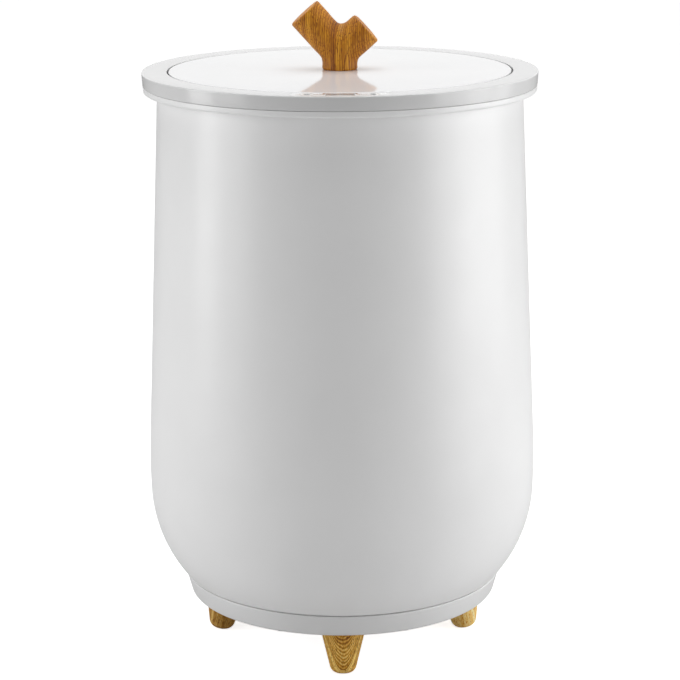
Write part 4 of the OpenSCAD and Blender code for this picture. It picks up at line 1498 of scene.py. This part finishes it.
@dataclass(frozen=True)
class Base:
    """The drum's base: a band with a rounded lower edge, a vented floor and its posts."""

    low_z: float = 40.0
    floor: float = 3.0
    low_r: float = 127.77
    low_round: float = 4.0
    band_top: float = 58.3
    seam_r: float = 132.77
    seam_round: float = 1.0
    spigot_r: float = 129.15
    spigot_top: float = 65.3
    spigot_wall: float = 2.2
    spigot_round: float = 0.4
    wall: float = 3.2
    inner_round: float = 1.5
    screw_r: float = 117.77
    screw_angle: float = 25.0
    screw_post: float = 23.3
    screw_post_r: float = 4.5
    screw_hole_r: float = 2.2
    foot_r: float = 97.98
    pad: float = 4.0
    pad_r: float = 12.0
    pad_hole_r: float = 3.2
    board_x: float = 46.0
    board_y: float = 30.0
    board_post: float = 6.0
    board_post_r: float = 3.0
    board_hole_r: float = 1.29
    vent: tuple[float, float] = (60.0, 2.5)
    vent_pitch: float = 7.0
    vent_count: int = 7
    gland_r: float = 118.47
    gland_z: float = 49.95
    gland_run: float = 14.0
    gland_boss_r: float = 8.5
    gland_bore_r: float = 5.5
    gland_round: float = 0.4

    def posts(self) -> list[Post]:
        """Lists the posts on the floor.

        Returns:
            The posts of the four base screws, the four feet and the power board.
        """
        z = self.low_z + self.floor
        through = self.floor + OVERRUN
        angle = self.screw_angle
        screws = [Post(around(a, self.screw_r, z), self.screw_post_r, self.screw_post,
                       self.screw_hole_r, through)
                  for a in (angle, 180 - angle, 180 + angle, -angle)]
        pads = [Post(around(a, self.foot_r, z), self.pad_r, self.pad, self.pad_hole_r, through)
                for a in (0, 90, 180, 270)]
        board = [Post(shift(x, y, z), self.board_post_r, self.board_post, self.board_hole_r, 0.0)
                 for x in (-self.board_x, self.board_x) for y in (-self.board_y, self.board_y)]
        return [*screws, *pads, *board]

    def vents(self) -> list[bpy.types.Object]:
        """Makes the cutters for the row of slots in the floor.

        Returns:
            The cutters from the front to the back.
        """
        middle = (self.vent_count - 1) / 2
        return [place(slab("vent", (*self.vent, self.floor + 2 * OVERRUN)),
                      shift(y=(i - middle) * self.vent_pitch, z=self.low_z - OVERRUN))
                for i in range(self.vent_count)]

    def build(self) -> bpy.types.Object:
        """Turns the base, adds its posts, opens its holes and vents, and dresses it.

        Returns:
            The base.
        """
        inside = self.low_z + self.floor
        piece = turned("vented_base", [
            Corner(0, self.low_z), Corner(self.low_r, self.low_z, self.low_round),
            Corner(self.seam_r, self.band_top, self.seam_round),
            Corner(self.spigot_r, self.band_top),
            Corner(self.spigot_r, self.spigot_top, self.spigot_round),
            Corner(self.spigot_r - self.spigot_wall, self.spigot_top, self.spigot_round),
            Corner(self.spigot_r - self.spigot_wall, self.band_top - self.wall),
            Corner(self.low_r - self.wall, inside, self.inner_round),
            Corner(0, inside)], closed=False)
        posts = self.posts()
        solids = [post.solid() for post in posts]
        holes = [post.hole() for post in posts]
        mouth = around(180, self.gland_r, self.gland_z) @ lean(90, "X")
        solids.append(place(rod("boss", self.gland_boss_r, self.gland_run, self.gland_round),
                            mouth))
        holes.append(place(rod("bore", self.gland_bore_r, self.gland_run + 2 * OVERRUN),
                           mouth @ shift(z=-OVERRUN)))
        cut(piece, joined("posts", solids), Boolean.UNITE)
        cut(piece, joined("holes", holes + self.vents()))
        # The base's greyer white is painted shade on its low band.
        return settle(finish_mesh(piece), Body.DRUM, BASE_WHITE_WITH_PAINTED_SHADE, ["base_cover"])


class FootTone(Enum):
    """The feet's wood tones, darkest to palest: the wood's own, one paler with painted light and
    one darker with painted shade.
    """

    PLAIN = ("#804900", "#D49423", "#FFDF82")
    # Paler tones: painted light, for the right foot's lit side.
    BRIGHT = ("#CC8220", "#FFD268", "#FFF2BC")
    # Darker tones: painted shade, for the left foot.
    DEEP = ("#6C3D00", "#B67D1B", "#E2BD6E")


@dataclass(frozen=True)
class Feet:
    """Four turned wooden feet that lean outwards to a rounded tip, their ends cut level.

    They are oiled like the handle, but from paler wood: a fine comb of streaks and one pale band.
    """

    height: float = 40.0
    top_r: float = 19.4
    tip_r: float = 11.0
    tip_round: float = 7.0
    splay: float = 9.0
    ring_r: float = 97.98
    spare: float = 6.0
    tip_steps: int = 14
    oil_ior: float = 1.38
    layer: float = 0.4
    layer_depth: float = 0.3
    wander: float = 1.3
    drift: float = 3.0
    drift_depth: float = 0.2
    band: tuple[float, float] = (9.0, 1.6)
    # The right foot's paler tones are painted light and the left foot's darker ones painted shade.
    places: tuple[tuple[str, float, FootTone], ...] = (
        ("front", 0.0, FootTone.PLAIN), ("right", 90.0, FootTone.BRIGHT),
        ("rear", 180.0, FootTone.PLAIN), ("left", 270.0, FootTone.DEEP))

    def wood(self, name: str, angle: float, foot_tone: FootTone) -> OiledWood:
        """Gives a foot's wood, with its growth layers square to the outside of the drum.

        Args:
            name: The foot's name.
            angle: Its angle from the front.
            foot_tone: Its wood's tones, with painted light on the right foot and painted shade on
                the left.

        Returns:
            The wood.
        """
        out = Vector((math.sin(math.radians(angle)), -math.cos(math.radians(angle))))
        dark, middle, light = foot_tone.value
        return OiledWood(
            f"oiled_wood_{name}", middle, ior=self.oil_ior, dark=dark, middle=middle, light=light,
            layer=self.layer, layer_depth=self.layer_depth, wander=self.wander, drift=self.drift,
            drift_depth=self.drift_depth, band=self.band, turn=angle - 90.0, tilt=-self.splay,
            centre=(out.x * self.ring_r, out.y * self.ring_r, self.height))

    def build(self) -> None:
        """Turns one foot, levels it, copies it to the four places and dresses each."""
        tip_z = -self.height / math.cos(math.radians(self.splay))
        flare = (self.top_r - self.tip_r) / (-tip_z - self.tip_round)
        tip = arc(self.tip_r - self.tip_round, tip_z + self.tip_round, self.tip_round, -90,
                  -math.degrees(math.atan(flare)), self.tip_steps)
        blank = turned("foot", [
            Corner(0, tip_z), *tip, Corner(self.top_r + flare * self.spare, self.spare),
            Corner(0, self.spare)], closed=False, steps=WOOD_STEPS)
        place(blank, shift(z=self.height) @ lean(-self.splay, "X"))
        side = 3 * self.top_r
        cut(blank, slab("level", (side, side, self.height)), Boolean.SHARE)
        finish_mesh(blank)
        for name, angle, foot_tone in self.places:
            foot = copy_of(blank, f"turned_{name}_foot", around(angle, self.ring_r))
            settle(foot, Body.DRUM, self.wood(name, angle, foot_tone), [f"{name}_foot"])
        bpy.data.objects.remove(blank)
        dress_node("foot_screws", ZINC)


@dataclass(frozen=True)
class Works:
    """The solids that are kept as built inside the drum and under it."""

    dressed: tuple[tuple[str, Finish], ...] = (
        ("base_screws", ZINC), ("cord_gland", BLACK_MOULDING),
        ("ring_screws", ZINC), ("display_module", BLACK_MOULDING),
        ("power_plunger", BLACK_MOULDING), ("timer_plunger", BLACK_MOULDING),
        ("power_switch", BLACK_MOULDING), ("timer_switch", BLACK_MOULDING),
        ("control_board", BOARD), ("panel_connector", IVORY_MOULDING),
        ("control_board_screws", ZINC), ("heater_band", HEATER_RED), ("insulation_jacket", FELT),
        ("floor_insulation", FELT), ("thermostat", BLACK_MOULDING), ("thermal_fuse", ZINC),
        ("temperature_sensor", ZINC), ("panel_harness", SLEEVE_RED), ("heater_leads", SLEEVE_RED),
        ("sensor_leads", SLEEVE_RED), ("power_board", BOARD), ("power_transformer", CORE),
        ("heater_relay", BLUE_MOULDING), ("filter_capacitor", BLACK_MOULDING),
        ("heater_terminals", IVORY_MOULDING), ("harness_header", IVORY_MOULDING),
        ("sensor_header", IVORY_MOULDING), ("power_board_screws", ZINC))

    def build(self) -> None:
        """Dresses each kept solid."""
        for node, finish in self.dressed:
            dress_node(node, finish)


# Studio


@dataclass(frozen=True)
class Softbox:
    """A rectangular lamp that looks at the drum, with its sizes in metres and power in watts."""

    name: str
    place: Triple
    size: tuple[float, float]
    power: float
    target: Triple = (0.0, 0.0, 0.26)

    def build(self) -> None:
        """Hangs the lamp in the studio."""
        lamp = bpy.data.lights.new(self.name, "AREA")
        lamp.shape = "RECTANGLE"
        lamp.size, lamp.size_y = self.size
        lamp.energy = self.power
        holder = bpy.data.objects.new(self.name, lamp)
        bpy.context.scene.collection.objects.link(holder)
        holder.location = self.place
        aim = Vector(self.target) - Vector(self.place)
        holder.rotation_euler = aim.to_track_quat("-Z", "Y").to_euler()


@dataclass(frozen=True)
class Studio:
    """The pale floor, the white surroundings, the lamps and the camera.

    Places are in metres, the camera's angles are in radians, and its lens and film are in
    millimetres. The floor glows just enough to be white to the camera.
    """

    camera_place: Triple = (0.0, -1.86285, 0.71746)
    camera_pitch: float = 0.2446
    camera_roll: float = -0.0055
    camera_lens: float = 122.323
    camera_shift: float = -0.00207
    camera_reach: float = 100.0
    film_width: float = 36.0
    ambient: float = 0.20
    floor_glow: float = 0.76
    floor_size: float = 30.0
    floor_roughness: float = 0.9
    floor_colour: str = "#DCDCDC"
    floor_mirrored: str = "#C8C8C8"
    lamps: tuple[Softbox, ...] = (
        Softbox("left_softbox", (-1.489, -0.183, 0.6), (0.5, 1.4), 8.4),
        Softbox("right_softbox", (1.482, 0.235, 0.5), (0.6, 1.5), 5.7),
        Softbox("right_side_softbox", (1.477, -0.26, 0.5), (0.5, 1.4), 7.3),
        Softbox("left_front_softbox", (-1.413, -0.751, 0.5), (0.5, 1.4), 4.6),
        Softbox("right_front_softbox", (1.413, -0.751, 0.5), (0.5, 1.4), 5.2),
        Softbox("top_softbox", (0.0, 0.2, 2.0), (1.6, 1.6), 19.0))

    def build(self) -> None:
        """Sets up the floor, the surroundings, the lamps and the camera."""
        self.lay_floor()
        self.surround()
        for lamp in self.lamps:
            lamp.build()
        self.aim_camera()

    def lay_floor(self) -> None:
        """Lays the floor, white to the camera and pale to the light."""
        clear_bench()
        bpy.ops.mesh.primitive_plane_add(size=self.floor_size)
        floor = name_piece(bpy.context.object, "studio_floor")
        material = bpy.data.materials.new("painted_board_floor")
        material.use_nodes = True
        tree = material.node_tree
        shader = tree.nodes["Principled BSDF"]
        shader.inputs["Roughness"].default_value = self.floor_roughness
        shader.inputs["Emission Color"].default_value = linear(WHITE)
        path = add(tree, "LightPath")
        seen = path.outputs["Is Camera Ray"]
        dull = add(tree, "MixRGB", {
            "Fac": path.outputs["Is Glossy Ray"], "Color1": linear(self.floor_colour),
            "Color2": linear(self.floor_mirrored)})
        paint = add(tree, "MixRGB", {"Fac": seen, "Color1": dull.outputs[0],
                                     "Color2": linear(WHITE)})
        tree.links.new(paint.outputs[0], shader.inputs["Base Color"])
        glow = add(tree, "Math", {0: seen, 1: self.floor_glow}, operation="MULTIPLY")
        tree.links.new(glow.outputs[0], shader.inputs["Emission Strength"])
        floor.data.materials.append(material)

    def surround(self) -> None:
        """Makes the world white to the camera and in reflections, and dimmer as a light."""
        world = bpy.data.worlds.new("white_surround")
        bpy.context.scene.world = world
        world.use_nodes = True
        tree = world.node_tree
        path = add(tree, "LightPath")
        seen = path.outputs["Is Camera Ray"]
        for ray in ("Is Glossy Ray", "Is Transmission Ray"):
            seen = add(tree, "Math", {0: seen, 1: path.outputs[ray]},
                       operation="MAXIMUM").outputs[0]
        strength = add(tree, "MapRange", {"Value": seen, "To Min": self.ambient, "To Max": 1.0})
        back = tree.nodes["Background"]
        back.inputs["Color"].default_value = linear(WHITE)
        tree.links.new(strength.outputs[0], back.inputs["Strength"])

    def aim_camera(self) -> None:
        """Sets the camera where the photograph was taken from."""
        data = bpy.data.cameras.new("photo_camera")
        data.lens = self.camera_lens
        data.sensor_width = self.film_width
        data.shift_x = self.camera_shift
        data.clip_end = self.camera_reach
        camera = bpy.data.objects.new("photo_camera", data)
        bpy.context.scene.collection.objects.link(camera)
        camera.matrix_world = (Matrix.Translation(self.camera_place)
                               @ Matrix.Rotation(math.pi / 2 - self.camera_pitch, 4, "X")
                               @ Matrix.Rotation(self.camera_roll, 4, "Z"))
        bpy.context.scene.camera = camera


def main() -> None:
    """Builds the studio and every piece of the drum in order."""
    logging.basicConfig(level=logging.INFO, format="%(name)s: %(message)s")
    bpy.context.scene.view_settings.view_transform = "Standard"
    Studio().build()
    Casing().build()
    Collar().build()
    panel = ControlPanel()
    TopRing().build(panel)
    panel.build()
    Lid().build()
    ForkHandle().build()
    Bucket().build()
    Base().build()
    Feet().build()
    Works().build()


if __name__ == "__main__":
    main()
